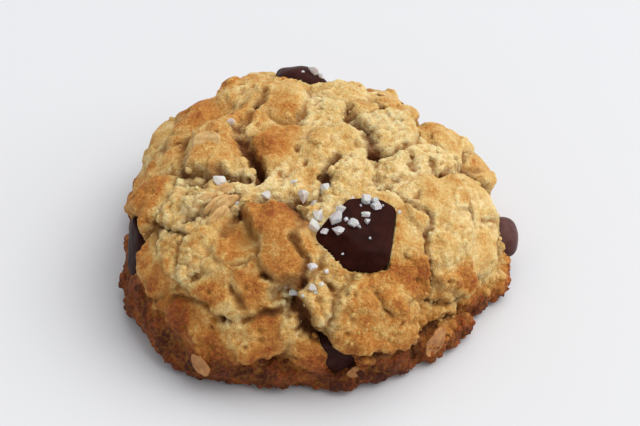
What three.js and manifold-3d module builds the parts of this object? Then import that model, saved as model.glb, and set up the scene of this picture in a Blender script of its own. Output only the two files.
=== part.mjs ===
// A mounded oatmeal cookie: soft dough under a cracked, lumpy crust, with five chocolate
// chunks set in it, coarse salt on its crown and rolled oats in its crust.
//
// Millimetres, +Z up, origin at the middle of the flat underside. The side where the largest
// chunk shows faces -Y.
//
// A place on the cookie is an azimuth, in degrees from +X towards +Y, and an arc: the way in mm
// from the middle of the crown, down over the cookie's smooth form.

import * as THREE from 'three';
import { mergeVertices } from 'three/addons/utils/BufferGeometryUtils.js';
import Module from 'manifold-3d';

// ---------- Driving dimensions ----------

const WIDTH = 76;
const HEIGHT = 29.2;
const WAIST_HEIGHT = 5.3; // where the wall stands upright
const FOOT_INSET = 2.5; // how far the flat underside stays inside the waist
const CROWN_FLATNESS = 3; // powers of the crown's superellipse, 2 is a plain ellipse
const CROWN_FULLNESS = 2.25;
const OUTLINE_LOBES = [ // waves in the outline: how many, how large a share, pointing where
  { count: 1, share: 0.028, azimuth: -93 },
  { count: 3, share: 0.045, azimuth: -3 },
  { count: 4, share: 0.012, azimuth: 38 },
];
const FOOT_LOBE = { count: 1, share: 0.008, azimuth: -100, above: 14, full: 4 }; // the low wall's own

const DOUGH_DETAIL = 18; // cuts along each edge of the 20 faces that the dough is made from
const UNDERSIDE_SHARE = 0.3; // how dense the flat underside's triangles are
const CHUNK_CLEARANCE = 0.35; // gap between a chunk and its pocket in the dough

// ---------- Relief of the crust ----------

// Raised and sunk pieces of crust: place, how far each rises, how far it reaches over others and
// how crumbly it is, from 0 to 1.
const PLATES = [
  { name: 'rear left shoulder', azimuth: 138, arc: 27.5, rise: 0.3, reach: 2, crumb: 0.2 },
  { name: 'rear hollow', azimuth: 125, arc: 24, rise: 0.6, reach: 0, crumb: 0.5 },
  { name: 'far rear', azimuth: 116, arc: 29, rise: 1, reach: 1, crumb: 0.2 },
  { name: 'rear ridge', azimuth: 110, arc: 15, rise: 1.5, reach: 2, crumb: 0.2 },
  { name: 'rear ridge foot', azimuth: 138, arc: 12, rise: 1, reach: 0, crumb: 0.3 },
  { name: 'rear crown', azimuth: 74, arc: 13, rise: 0.5, reach: 1, crumb: 0.8 },
  { name: 'rear crown, far side', azimuth: 69, arc: 23, rise: 0.9, reach: 1, crumb: 0.6 },
  { name: 'gully head', azimuth: 54, arc: 19, rise: 1.2, reach: -1, crumb: 0.4 },
  { name: 'rear right crown', azimuth: 48, arc: 29, rise: 1.5, reach: 1, crumb: 0.3 },
  { name: 'behind the gully', azimuth: 22, arc: 16.5, rise: 1.2, reach: 1, crumb: 0.8 },
  { name: 'right shoulder', azimuth: 20, arc: 31, rise: 0.3, reach: 2, crumb: 0.3 },
  { name: 'right shoulder foot', azimuth: 10, arc: 35.5, rise: -0.3, reach: 0, crumb: 0.3 },
  { name: 'right foot, rear', azimuth: 15, arc: 48.5, rise: -0.6, reach: 1, crumb: 0.3 },
  { name: 'crown', azimuth: 165, arc: 6.5, rise: 1.1, reach: 2, crumb: 0.3 },
  { name: 'crown front', azimuth: 2, arc: 3.5, rise: 1.2, reach: 1, crumb: 0.5 },
  { name: 'crown slope', azimuth: -97, arc: 7, rise: 0.3, reach: 0, crumb: 0.6 },
  { name: 'flake plate', azimuth: -178, arc: 16.5, rise: 2, reach: 2, crumb: 0.35 },
  { name: 'left of the flake', azimuth: 173, arc: 29, rise: 1, reach: 0, crumb: 0.3 },
  { name: 'left shoulder', azimuth: 154, arc: 39, rise: 0.9, reach: 0, crumb: 0.3 },
  { name: 'left shoulder foot', azimuth: 176, arc: 34, rise: 0.9, reach: 0, crumb: 0.4 },
  { name: 'left foot', azimuth: 180, arc: 47.5, rise: -0.6, reach: 1, crumb: 0.4 },
  { name: 'rear left side', azimuth: 131, arc: 35, rise: -1, reach: 1, crumb: 0.2 },
  { name: 'left lump', azimuth: -166, arc: 33, rise: 1.5, reach: 1, crumb: 0.5 },
  { name: 'crumbly patch', azimuth: -146, arc: 26, rise: 1.1, reach: 0, crumb: 1 },
  { name: 'above the crumbly patch', azimuth: -158, arc: 24.5, rise: 0.8, reach: -1, crumb: 1 },
  { name: 'under the flake plate', azimuth: -139, arc: 16, rise: 0.8, reach: -1, crumb: 0.6 },
  { name: 'shelf', azimuth: -108, arc: 12, rise: 0.5, reach: 1, crumb: 0.6 },
  { name: 'middle', azimuth: -42, arc: 12, rise: 0.9, reach: 1, crumb: 0.9 },
  { name: 'middle, right', azimuth: -19, arc: 16.5, rise: 0.4, reach: 0, crumb: 0.9 },
  { name: 'beside the big chunk', azimuth: -84, arc: 17.5, rise: 0.4, reach: -1, crumb: 0.9 },
  { name: 'collar of the big chunk', azimuth: -47, arc: 27.5, rise: 0.7, reach: 0, crumb: 0.4 },
  { name: 'right crown', azimuth: -20, arc: 27.5, rise: 1.2, reach: 1, crumb: 0.4 },
  { name: 'right crown, rear', azimuth: 1, arc: 24, rise: 0.9, reach: 0, crumb: 0.7 },
  { name: 'right edge', azimuth: -5, arc: 35.5, rise: -0.2, reach: 1, crumb: 0.4 },
  { name: 'right side', azimuth: -32, arc: 34, rise: 0.9, reach: 1, crumb: 0.6 },
  { name: 'right cheek', azimuth: -22, arc: 43, rise: 0.2, reach: 2, crumb: 0.3 },
  { name: 'right cheek, front', azimuth: -37, arc: 41.5, rise: 0.9, reach: 1, crumb: 0.6 },
  { name: 'right cheek, foot', azimuth: -46, arc: 46, rise: 0.1, reach: 1, crumb: 0.6 },
  { name: 'slab, top', azimuth: -78, arc: 32.3, rise: 1, reach: -1, crumb: 0.7 },
  { name: 'slab, top right', azimuth: -58, arc: 35.5, rise: 1.4, reach: 0, crumb: 0.8 },
  { name: 'slab', azimuth: -70, arc: 41, rise: 2.1, reach: 4.5, crumb: 0.6 },
  { name: 'slab tip', azimuth: -90, arc: 36, rise: 1.8, reach: 0.5, crumb: 0.3 },
  { name: 'left cheek', azimuth: -142, arc: 38, rise: 0.8, reach: 1, crumb: 0.4 },
  { name: 'left cheek, top', azimuth: -142, arc: 33, rise: 0.9, reach: -1, crumb: 1 },
  { name: 'between cheek and knob', azimuth: -129, arc: 31, rise: 0.9, reach: 0, crumb: 1 },
  { name: 'pale flake', azimuth: -119, arc: 35.5, rise: 1.3, reach: 1, crumb: 0.2 },
  { name: 'pale flake foot', azimuth: -112, arc: 39, rise: 0.6, reach: -1, crumb: 0.5 },
  { name: 'low left lump', azimuth: -126, arc: 43.5, rise: 0.6, reach: 1.5, crumb: 0.5 },
  { name: 'low left lump, right', azimuth: -116, arc: 43.7, rise: 0.2, reach: 0, crumb: 0.6 },
  { name: 'low ledge', azimuth: -110, arc: 42, rise: 1, reach: -1, crumb: 0.3 },
  { name: 'side lump', azimuth: -100, arc: 41.5, rise: 1.3, reach: 2, crumb: 0.1 },
  { name: 'side lump, right', azimuth: -92, arc: 43.5, rise: 0.8, reach: 1, crumb: 0 },
  { name: 'low left recess', azimuth: -145, arc: 48.5, rise: -0.5, reach: 1, crumb: 0.4 },
  { name: 'low left foot', azimuth: -129, arc: 50.5, rise: -0.3, reach: 2, crumb: 0.4 },
  { name: 'knob', azimuth: -107, arc: 20, rise: 3.3, reach: 2, crumb: 0.15 },
  { name: 'knob, front', azimuth: -98, arc: 28, rise: 2.8, reach: 1.5, crumb: 0.1 },
  { name: 'knob, foot', azimuth: -107, arc: 33, rise: 1.8, reach: 1, crumb: 0.15 },
  { name: 'knob, left', azimuth: -119, arc: 25.5, rise: 1, reach: 1, crumb: 0.15 },
  { name: 'beside the knob', azimuth: -98, arc: 34.3, rise: -0.3, reach: -1, crumb: 1 },
];

// Deep splits in the crust. Each runs through [azimuth, arc] places.
const CREVICES = [
  {
    name: 'rear split', depth: 1.7, width: 1,
    way: [[115, 18], [126, 16.5], [140, 15], [158, 15], [169, 13.5]],
  },
  {
    name: 'flake plate edge', depth: 3.4, width: 1.2,
    way: [[169, 13.5], [-174, 11.5], [-154, 10.5], [-133, 12]],
  },
  { name: 'left fold', depth: 1.5, width: 0.9, way: [[170, 33], [168, 30.5], [165, 25]] },
  { name: 'flake groove', depth: 1.6, width: 1.3, way: [[170, 26], [-175, 25.5], [-165, 23.5]] },
  {
    name: 'under the flake plate', depth: 2.2, width: 1.1,
    way: [[-161, 25], [-156, 22], [-157, 18], [-146, 15], [-140, 14]],
  },
  {
    name: 'oat gap', depth: 2.2, width: 1.2,
    way: [[-142, 27], [-138, 24.5], [-137, 21.5], [-135, 18]],
  },
  {
    name: 'gully', depth: 2, width: 1.1,
    way: [[57, 15.5], [46, 12.5], [25, 12.5], [8, 11.7], [-10, 12.6]],
  },
  { name: 'gully, right', depth: 1.6, width: 0.9, way: [[-9, 13.5], [-8, 16.3], [4, 18.2]] },
  {
    name: 'collar split', depth: 2, width: 0.9,
    way: [[-35, 28], [-42, 31], [-46, 34.5], [-48, 37], [-50, 42.5], [-46, 44.7]],
  },
  { name: 'crown split', depth: 3, width: 1.2, way: [[-33, 6], [-59, 7.5], [-72, 11.3]] },
  { name: 'shelf edge', depth: 1.6, width: 1, way: [[-122, 15.3], [-94, 15.7], [-82, 15], [-79, 13]] },
  {
    name: 'knob edge, right', depth: 1.8, width: 1.2,
    way: [[-99, 17], [-93, 20.3], [-94, 25], [-89, 28.3], [-92, 31.3]],
  },
  { name: 'knob edge, front', depth: 1.5, width: 0.8, way: [[-105, 30.6], [-99, 31.2], [-92, 31.6]] },
  { name: 'knob edge, left', depth: 1.6, width: 1.2, way: [[-127, 25], [-128, 21.4], [-126, 18.6]] },
  {
    name: 'crease under the knob', depth: 1.9, width: 0.9,
    way: [[-92, 36.8], [-98, 37], [-107, 39.2], [-112, 40]],
  },
  {
    name: 'low left lip', depth: 1.6, width: 0.9,
    way: [[-134, 45], [-131, 40.4], [-125, 38.5], [-115, 39.7], [-112, 40]],
  },
  {
    name: 'slab edge, left', depth: 2.6, width: 1.1,
    way: [[-95, 35], [-91, 37.4], [-90, 40], [-84, 45]],
  },
  {
    name: 'slab edge, low', depth: 3.4, width: 1.2,
    way: [[-84, 45], [-80, 46.5], [-70, 47.3], [-60, 48.6], [-51, 48.4], [-44, 49]],
  },
  { name: 'front notch', depth: 3, width: 1.4, way: [[-59, 48.8], [-57, 54]] },
  { name: 'right foot edge', depth: 1.6, width: 1, way: [[-44, 49], [-39, 50], [-30, 50]] },
];

const PITS = [ // round holes in the crust
  { name: 'by the crown', azimuth: -152, arc: 10.5, depth: 3.4, width: 1.5 },
  { name: 'behind the middle', azimuth: -9, arc: 12.4, depth: 3.4, width: 1.6 },
  { name: 'skirt', azimuth: -100, arc: 47.6, depth: 2, width: 1.2 },
];

const RELIEF_LEVEL = 2.6; // taken off all relief, so that the crust keeps to the smooth form
const SHINGLE = 0.06; // how much a plate rises for each mm downhill
const RISE_SCALE = 1.35;
const PLATE_SWELL = 1.6; // how far a plate's middle swells above its rim
const PLATE_SWELL_WIDTH = 2.6; // over what distance from the rim
const LEDGE_WIDTH = 0.9; // how wide the step from one plate to the next is where they have parted
const PARTING = 0.5; // how readily the rims of plates part, for each mm of step between them
const CLOSED_LEDGE = 1; // how much wider the step is where the rims have stayed closed
const CLOSED_SWELL = 0.15; // the share of the swell's valley that is left there
const EDGE_KEPT = 0.5; // the share of its swell that the higher plate keeps up to its edge
const CRUMBLY = { from: 0.2, full: 0.95 }; // from where a plate's crumb value counts
const CRACK_DEPTH = 1.1; // the cracks that part of the plate rims have
const CRACK_WIDTH = 0.9;
const CRACK_PATCH = 9; // length of the stretches where rims crack or stay closed
const CREVICE_PATCH = 4; // length of the stretches where a crevice is deep or shallow
const DIP_SPREAD = 1.3; // how much wider a crevice or a pit runs out than its own width
const RAGGEDNESS = 1.3; // how far rims wander
const RAGGED_LENGTH = 6;
const FRAY = 0.3; // the finer wandering on top of it
const FRAY_LENGTH = 2.2;
const FILLER_SPACING = 9; // plates that fill what the list above leaves free
const FILLER_COUNT = 80;
const FILLER_RISE = 1.6;

const LUMPS = [ // rounded lumps of dough: spacing, height, share of it where nothing is crumbly
  { name: 'lumps', spacing: 5, height: 0.8, smoothShare: 0.2, seed: 21 },
  { name: 'crumbs', spacing: 2.4, height: 0.45, smoothShare: 0.1, seed: 22 },
];
const WAVES = [ // under it all
  { length: 16, height: 0.8, seed: 31 },
  { length: 5.5, height: 0.8, seed: 32 },
];
const UNDERSIDE_FADE = 8; // how far the relief runs in under the cookie

// ---------- Toppings ----------

// Chocolate chunks. Sides are upright faces, as [direction, distance from the middle]. Slants are
// sloping faces, as [direction, how steeply they look up, distance]. Sunk is how far the middle
// lies under the smooth form, and lean tips the chunk's top uphill. The crust keeps to `rim`
// above the smooth form within `reach` of the middle. A higher rounding keeps edges sharper.
const CHUNKS = [
  {
    name: 'chunk_top', azimuth: -67, arc: 24, sunk: 0.9, lean: 2, turn: -23,
    top: 3.6, bottom: 4, rounding: 14, detail: 4,
    sides: [[57, 8.3], [98, 6.1], [141, 5.1], [188, 8], [241, 8], [272, 8], [301, 8.5], [353, 6.6]],
    slants: [[60, 84, 3.3], [227, 68, 4.25], [275, 64, 5.4]],
    rim: 0.7, reach: 8,
  },
  {
    name: 'chunk_back', azimuth: 92, arc: 32, sunk: 1.3, lean: 0, turn: 10,
    top: 3.5, bottom: 4, rounding: 8, detail: 3,
    sides: [[0, 5.4], [60, 4.9], [120, 5.3], [180, 5.5], [240, 4.8], [300, 5.2]],
    slants: [[170, 55, 4.1], [20, 60, 4.4], [250, 62, 3.9], [95, 60, 4]],
    rim: -0.6, reach: 5,
  },
  {
    name: 'chunk_left', azimuth: -161, arc: 42.5, sunk: 4, lean: 6, turn: 0,
    top: 3.4, bottom: 4, rounding: 10, detail: 3,
    sides: [[0, 5.4], [55, 5.9], [95, 5.3], [150, 5.7], [180, 5.6], [235, 5.8], [275, 5.4], [320, 5.8]],
    slants: [[20, 60, 4.6], [200, 70, 3.9]],
    rim: -2, reach: 5,
  },
  {
    name: 'chunk_front', azimuth: -80, arc: 47.8, sunk: 4.3, lean: 10, turn: 0,
    top: 3.2, bottom: 4, rounding: 10, detail: 3,
    sides: [[0, 6], [50, 5.4], [90, 4], [140, 5.4], [185, 6], [240, 4.6], [280, 4], [320, 5.2]],
    slants: [[200, 66, 4.3], [330, 64, 4.4]],
    rim: -2.6, reach: 3,
  },
  {
    name: 'chunk_right', azimuth: -3, arc: 49.5, sunk: 0.8, lean: 0, turn: 5,
    top: 3.6, bottom: 4, rounding: 8, detail: 3,
    sides: [[0, 4], [60, 4], [120, 4.3], [180, 4.1], [240, 3.8], [300, 4.2]],
    slants: [[75, 58, 3.9], [200, 60, 3.9], [320, 55, 4]],
    rim: -1, reach: 4,
  },
];
const RIM_SLOPE = 2.5; // over what distance the crust comes back to its own relief

// Salt crystals that are large enough to see from a step away, with each one's length.
const SALT_ON_DOUGH = [
  { azimuth: -151, arc: 18.3, length: 2.8 },
  { azimuth: -120, arc: 13.9, length: 1.9 },
  { azimuth: -92, arc: 13.5, length: 2.4 },
  { azimuth: -85, arc: 15.6, length: 1.9 },
  { azimuth: -74, arc: 13.1, length: 2.4 },
  { azimuth: -132, arc: 18.3, length: 1.6 },
  { azimuth: 156, arc: 16.4, length: 1.8 },
  { azimuth: -84, arc: 19.6, length: 2.4 },
  { azimuth: -86, arc: 21.8, length: 2.3 },
  { azimuth: -94, arc: 33.2, length: 2 },
  { azimuth: -88, arc: 33, length: 1.5 },
  { azimuth: -88, arc: 29.6, length: 1.8 },
];
const SALT_ON_CHUNK = [ // on the largest chunk: way across it and up it from its middle
  { across: -0.9, along: 4.5, length: 2.5 },
  { across: 1.4, along: 4.6, length: 1.8 },
  { across: 3.7, along: 4.4, length: 1.9 },
  { across: 1.4, along: 2.6, length: 1.4 },
  { across: -3.4, along: 3.2, length: 1.9 },
  { across: -4, along: 1.3, length: 2.8 },
  { across: -3.7, along: -1.2, length: 2 },
  { across: -1, along: 0.5, length: 2.1 },
];
const SALT_PROPORTION = [0.5, 0.4, 0.36]; // half length, half width and half height of a length
const SALT_SUNK = 0.3; // share of the height that is sunk

// Rolled oats that lie in the crust: place, turn about the normal and tilt out of the surface.
const OATS = [
  { azimuth: 175, arc: 21.5, length: 6, turn: 75, tilt: 38 },
  { azimuth: -141, arc: 22.5, length: 6.2, turn: 48, tilt: 62 },
  { azimuth: -137, arc: 25.5, length: 5.8, turn: 52, tilt: 66 },
  { azimuth: -139, arc: 20, length: 5.8, turn: 45, tilt: 58 },
  { azimuth: -135, arc: 22.5, length: 5.2, turn: 50, tilt: 64 },
  { azimuth: -118, arc: 49.5, length: 5.2, turn: 110, tilt: 4 },
  { azimuth: -51, arc: 50.5, length: 6.6, turn: 65, tilt: 6 },
  { azimuth: -117, arc: 35.8, length: 6.6, turn: 70, tilt: 8 },
  { azimuth: -122, arc: 33.5, length: 5.2, turn: 20, tilt: 10 },
  { azimuth: 12, arc: 34, length: 6, turn: 20, tilt: 12 },
  { azimuth: 62, arc: 38, length: 6, turn: 140, tilt: 14 },
  { azimuth: 118, arc: 44, length: 5.6, turn: 35, tilt: 12 },
  { azimuth: -72, arc: 52.5, length: 5, turn: 20, tilt: 10 },
];
const OAT_PROPORTION = [0.5, 0.37, 0.1]; // half length, half width and half thickness

// ---------- Noise ----------

function hash(i, j, k, seed) {
  const wave = Math.sin(i * 127.1 + j * 311.7 + k * 74.7 + seed * 53.3) * 43758.5453;
  return wave - Math.floor(wave);
}

function ease(t) {
  return t * t * t * (t * (t * 6 - 15) + 10);
}

// Smooth noise of about -1 to 1, with bumps of the given length.
function noise(point, length, seed) {
  const at = [point.x / length, point.y / length, point.z / length];
  const cell = at.map(Math.floor);
  const inside = at.map((value, axis) => value - cell[axis]);
  let total = 0;
  for (let corner = 0; corner < 8; corner += 1) {
    const step = [corner & 1, (corner >> 1) & 1, (corner >> 2) & 1];
    const [i, j, k] = cell.map((value, axis) => value + step[axis]);
    let slope = 0;
    let weight = 1;
    for (let axis = 0; axis < 3; axis += 1) {
      const gradient = 2 * hash(i, j, k, seed + 0.37 * (axis + 1)) - 1;
      slope += gradient * (inside[axis] - step[axis]);
      weight *= step[axis] ? ease(inside[axis]) : 1 - ease(inside[axis]);
    }
    total += slope * weight;
  }
  return total * 1.6;
}

// Distance to the nearest of the points that are strewn one to a cell, in cells.
function nearestPoint(point, cellSize, seed) {
  const at = [point.x / cellSize, point.y / cellSize, point.z / cellSize];
  const cell = at.map(Math.floor);
  let nearest = Infinity;
  for (let n = 0; n < 27; n += 1) {
    const i = cell[0] + (n % 3) - 1;
    const j = cell[1] + (Math.floor(n / 3) % 3) - 1;
    const k = cell[2] + Math.floor(n / 9) - 1;
    const dx = i + hash(i, j, k, seed) - at[0];
    const dy = j + hash(i, j, k, seed + 0.5) - at[1];
    const dz = k + hash(i, j, k, seed + 0.9) - at[2];
    nearest = Math.min(nearest, Math.hypot(dx, dy, dz));
  }
  return nearest;
}

// ---------- The smooth form ----------

const CROWN_STEPS = 200;
const FOOT_STEPS = 60;
const FOOT_ROUNDNESS = 2.2;

// Half section from the crown's middle over the waist to the middle of the underside, as
// points of radius and height with the arc and the weighted area up to each.
function halfSection() {
  const points = [];
  const half = WIDTH / 2;
  const foot = half - FOOT_INSET;
  for (let i = 0; i <= CROWN_STEPS; i += 1) {
    const turn = (i / CROWN_STEPS) * (Math.PI / 2);
    const height = (HEIGHT - WAIST_HEIGHT) * Math.cos(turn) ** (2 / CROWN_FULLNESS);
    points.push({ radius: half * Math.sin(turn) ** (2 / CROWN_FLATNESS), height: WAIST_HEIGHT + height });
  }
  for (let i = 1; i <= FOOT_STEPS; i += 1) {
    const turn = (i / FOOT_STEPS) * (Math.PI / 2);
    const drop = Math.sin(turn) ** (2 / FOOT_ROUNDNESS);
    const out = FOOT_INSET * Math.max(0, Math.cos(turn)) ** (2 / FOOT_ROUNDNESS);
    points.push({ radius: foot + out, height: WAIST_HEIGHT * (1 - drop) });
  }
  for (let i = 1; i <= FOOT_STEPS; i += 1) {
    points.push({ radius: foot * (1 - i / FOOT_STEPS), height: 0 });
  }
  points[0].arc = 0;
  points[0].area = 0;
  for (let i = 1; i < points.length; i += 1) {
    const from = points[i - 1];
    const to = points[i];
    const step = Math.hypot(to.radius - from.radius, to.height - from.height);
    const share = i > CROWN_STEPS + FOOT_STEPS ? UNDERSIDE_SHARE : 1;
    to.arc = from.arc + step;
    to.area = from.area + step * ((from.radius + to.radius) / 2) * share;
  }
  return points;
}

const SECTION = halfSection();
const WAIST_ARC = SECTION[CROWN_STEPS].arc;
const FOOT_ARC = SECTION[CROWN_STEPS + FOOT_STEPS].arc;

// The section where `key` (arc or area) reaches a value.
function sectionAt(key, value) {
  let low = 0;
  let high = SECTION.length - 1;
  while (high - low > 1) {
    const middle = (low + high) >> 1;
    if (SECTION[middle][key] <= value) low = middle;
    else high = middle;
  }
  const from = SECTION[low];
  const to = SECTION[high];
  const share = (value - from[key]) / (to[key] - from[key]);
  return {
    radius: from.radius + share * (to.radius - from.radius),
    height: from.height + share * (to.height - from.height),
    arc: from.arc + share * (to.arc - from.arc),
    outward: (from.height - to.height) / (to.arc - from.arc),
    upward: (to.radius - from.radius) / (to.arc - from.arc),
  };
}

function lobeFactor(lobe, angle) {
  return lobe.share * Math.cos(lobe.count * (angle - THREE.MathUtils.degToRad(lobe.azimuth)));
}

function outline(angle, height) {
  let factor = 1;
  for (const lobe of OUTLINE_LOBES) {
    factor += lobeFactor(lobe, angle);
  }
  const low = THREE.MathUtils.clamp((FOOT_LOBE.above - height) / (FOOT_LOBE.above - FOOT_LOBE.full), 0, 1);
  return factor * (1 + low * lobeFactor(FOOT_LOBE, angle));
}

// Point and outward direction on the smooth form. Under the waist relief runs level.
function smoothPlace(angle, section) {
  const radius = section.radius * outline(angle, section.height);
  const level = section.arc >= WAIST_ARC;
  const outward = level ? 1 : section.outward;
  const upward = level ? 0 : section.upward;
  return {
    point: new THREE.Vector3(radius * Math.cos(angle), radius * Math.sin(angle), section.height),
    normal: new THREE.Vector3(outward * Math.cos(angle), outward * Math.sin(angle), upward).normalize(),
  };
}

function placeOn(azimuth, arc) {
  return smoothPlace(THREE.MathUtils.degToRad(azimuth), sectionAt('arc', arc));
}

// ---------- The crust ----------

// The listed plates, and filler plates along a sunflower spiral where no listed one is near.
function allPlates() {
  const laid = (plate) => {
    const centre = placeOn(plate.azimuth, plate.arc).point;
    return { ...plate, centre, downhill: placeOn(plate.azimuth, plate.arc + 1).point.sub(centre) };
  };
  const plates = PLATES.map(laid);
  const goldenTurn = 137.508;
  for (let i = 0; i < FILLER_COUNT; i += 1) {
    const azimuth = i * goldenTurn;
    const arc = FOOT_ARC * Math.sqrt((i + 0.5) / FILLER_COUNT);
    const rise = FILLER_RISE * hash(i, 1, 2, 5);
    const filler = laid({ azimuth, arc, rise, reach: hash(i, 2, 3, 5), crumb: hash(i, 4, 5, 5) });
    if (plates.every((plate) => plate.centre.distanceTo(filler.centre) > FILLER_SPACING)) {
      plates.push(filler);
    }
  }
  return plates;
}

const ALL_PLATES = allPlates();
const CREVICE_WAYS = CREVICES.map((crevice) => ({
  ...crevice,
  points: crevice.way.map(([azimuth, arc]) => placeOn(azimuth, arc).point),
}));
const PIT_PLACES = PITS.map((pit) => ({ ...pit, centre: placeOn(pit.azimuth, pit.arc).point }));

const CHUNK_PLACES = CHUNKS.map((chunk) => ({ ...chunk, centre: placeOn(chunk.azimuth, chunk.arc).point }));

// The point moved by noise, so that rims and splits run ragged.
function ragged(point) {
  const moved = [0, 1, 2].map((axis) => {
    const wander = noise(point, RAGGED_LENGTH, 11 + axis);
    const fray = noise(point, FRAY_LENGTH, 14 + axis);
    return RAGGEDNESS * wander + FRAY * fray;
  });
  return new THREE.Vector3(...moved).add(point);
}

// Height of the plates with their rims, and how crumbly the point is. A rim is a crease where
// plates have parted, and there the higher plate stands full up to its edge.
function plateRelief(point, frayed) {
  const distances = ALL_PLATES.map((plate) => frayed.distanceTo(plate.centre) - plate.reach);
  const order = distances.map((_, i) => i).sort((i, j) => distances[i] - distances[j]);
  const [own, other] = order.map((i) => ({ distance: distances[i], rise: ALL_PLATES[i].rise }));
  const gap = other.distance - own.distance;
  const step = Math.abs(own.rise - other.rise);
  const opening = THREE.MathUtils.clamp(PARTING * step + 1.3 * noise(point, CRACK_PATCH, 41), 0, 1);
  const ledge = LEDGE_WIDTH * (1 + CLOSED_LEDGE * (1 - opening));
  let total = 0;
  let height = 0;
  let crumb = 0;
  ALL_PLATES.forEach((plate, i) => {
    const weight = Math.exp((own.distance - distances[i]) / ledge);
    const slope = SHINGLE * frayed.clone().sub(plate.centre).dot(plate.downhill);
    total += weight;
    height += weight * (RISE_SCALE * plate.rise + slope);
    crumb += weight * plate.crumb;
  });
  const onHigher = 1 / (1 + Math.exp((-gap * Math.sign(own.rise - other.rise)) / ledge));
  const kept = EDGE_KEPT * Math.min(1, step) * onHigher;
  const valley = (CLOSED_SWELL + (1 - CLOSED_SWELL) * opening) * (1 - kept);
  const swell = PLATE_SWELL * (1 - valley * Math.exp(-gap / 2 / PLATE_SWELL_WIDTH));
  const crack = CRACK_DEPTH * opening * Math.exp(-((gap / 2 / CRACK_WIDTH) ** 2));
  return {
    height: height / total + swell - crack,
    crumb: THREE.MathUtils.smoothstep(crumb / total, CRUMBLY.from, CRUMBLY.full),
  };
}

function distanceToWay(point, points) {
  let nearest = Infinity;
  for (let i = 1; i < points.length; i += 1) {
    const segment = new THREE.Line3(points[i - 1], points[i]);
    const foot = segment.closestPointToPoint(point, true, new THREE.Vector3());
    nearest = Math.min(nearest, foot.distanceTo(point));
  }
  return nearest;
}

function dipRelief(point, frayed) {
  const depthHere = 0.85 + 0.5 * noise(point, CREVICE_PATCH, 43);
  let relief = 0;
  for (const { points, depth, width } of CREVICE_WAYS) {
    relief -= depth * depthHere * Math.exp(-((distanceToWay(frayed, points) / width / DIP_SPREAD) ** 2));
  }
  for (const { centre, depth, width } of PIT_PLACES) {
    relief -= depth * Math.exp(-((frayed.distanceTo(centre) / width / DIP_SPREAD) ** 2));
  }
  return relief;
}

function lumpRelief(point, crumb) {
  let relief = 0;
  for (const wave of WAVES) {
    relief += wave.height * noise(point, wave.length, wave.seed);
  }
  for (const lump of LUMPS) {
    const away = nearestPoint(point, lump.spacing, lump.seed);
    const height = lump.height * THREE.MathUtils.lerp(lump.smoothShare, 1, crumb);
    relief += height * (1 - 2 * Math.min(1, away) ** 2);
  }
  return relief;
}

// Relief that settles to a chunk's rim near the chunk.
function keptToRims(point, relief) {
  let kept = relief;
  for (const chunk of CHUNK_PLACES) {
    const away = point.distanceTo(chunk.centre);
    const own = THREE.MathUtils.smoothstep(away, chunk.reach, chunk.reach + RIM_SLOPE);
    kept = THREE.MathUtils.lerp(chunk.rim, kept, own);
  }
  return kept;
}

// The crust's real surface above a place on the smooth form.
function crustPoint(angle, section) {
  const place = smoothPlace(angle, section);
  const frayed = ragged(place.point);
  const under = THREE.MathUtils.smoothstep(section.arc, FOOT_ARC, FOOT_ARC + UNDERSIDE_FADE);
  const plates = plateRelief(place.point, frayed);
  const dips = dipRelief(place.point, frayed);
  const crust = plates.height + dips + lumpRelief(place.point, plates.crumb) - RELIEF_LEVEL;
  const relief = keptToRims(place.point, crust);
  const point = place.point.addScaledVector(place.normal, relief * (1 - under));
  point.z = Math.max(0, point.z);
  return point;
}

function doughGeometry() {
  const geometry = closedGeometry(new THREE.IcosahedronGeometry(1, DOUGH_DETAIL));
  const position = geometry.attributes.position;
  const wholeArea = SECTION[SECTION.length - 1].area;
  for (let i = 0; i < position.count; i += 1) {
    const angle = Math.atan2(position.getY(i), position.getX(i));
    const share = (1 - position.getZ(i)) / 2;
    const point = crustPoint(angle, sectionAt('area', share * wholeArea));
    position.setXYZ(i, point.x, point.y, point.z);
  }
  return geometry;
}

// ---------- Chunks, salt and oats ----------

// Matrix of a thing that lies on the crust: its z axis along the normal, x level.
function seat(place, depth, turn, lean) {
  const across = new THREE.Vector3(-place.normal.y, place.normal.x, 0).normalize();
  const along = new THREE.Vector3().crossVectors(place.normal, across);
  const origin = place.point.clone().addScaledVector(place.normal, -depth);
  const spin = new THREE.Matrix4().makeRotationZ(THREE.MathUtils.degToRad(turn));
  const tip = new THREE.Matrix4().makeRotationX(THREE.MathUtils.degToRad(lean));
  const matrix = new THREE.Matrix4().makeBasis(across, along, place.normal).setPosition(origin);
  return matrix.multiply(tip).multiply(spin);
}

// Below 1 inside a chunk that is grown by `extra`, above 1 outside it.
function fullness(point, chunk, extra) {
  let total = (Math.abs(point.z) / ((point.z > 0 ? chunk.top : chunk.bottom) + extra)) ** chunk.rounding;
  const upright = chunk.sides.map(([direction, distance]) => [direction, 0, distance]);
  for (const [direction, rise, distance] of [...upright, ...chunk.slants]) {
    const angle = THREE.MathUtils.degToRad(direction);
    const tilt = THREE.MathUtils.degToRad(rise);
    const level = point.x * Math.cos(angle) + point.y * Math.sin(angle);
    const reach = level * Math.cos(tilt) + point.z * Math.sin(tilt);
    total += (Math.max(0, reach) / (distance + extra)) ** chunk.rounding;
  }
  return total;
}

// Height of a chunk's upper side above its middle, at a place across and up it.
function chunkHeight(chunk, across, along) {
  let low = 0;
  let high = chunk.top;
  while (high - low > 0.01) {
    const middle = (low + high) / 2;
    if (fullness(new THREE.Vector3(across, along, middle), chunk, 0) < 1) low = middle;
    else high = middle;
  }
  return low;
}

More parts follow.
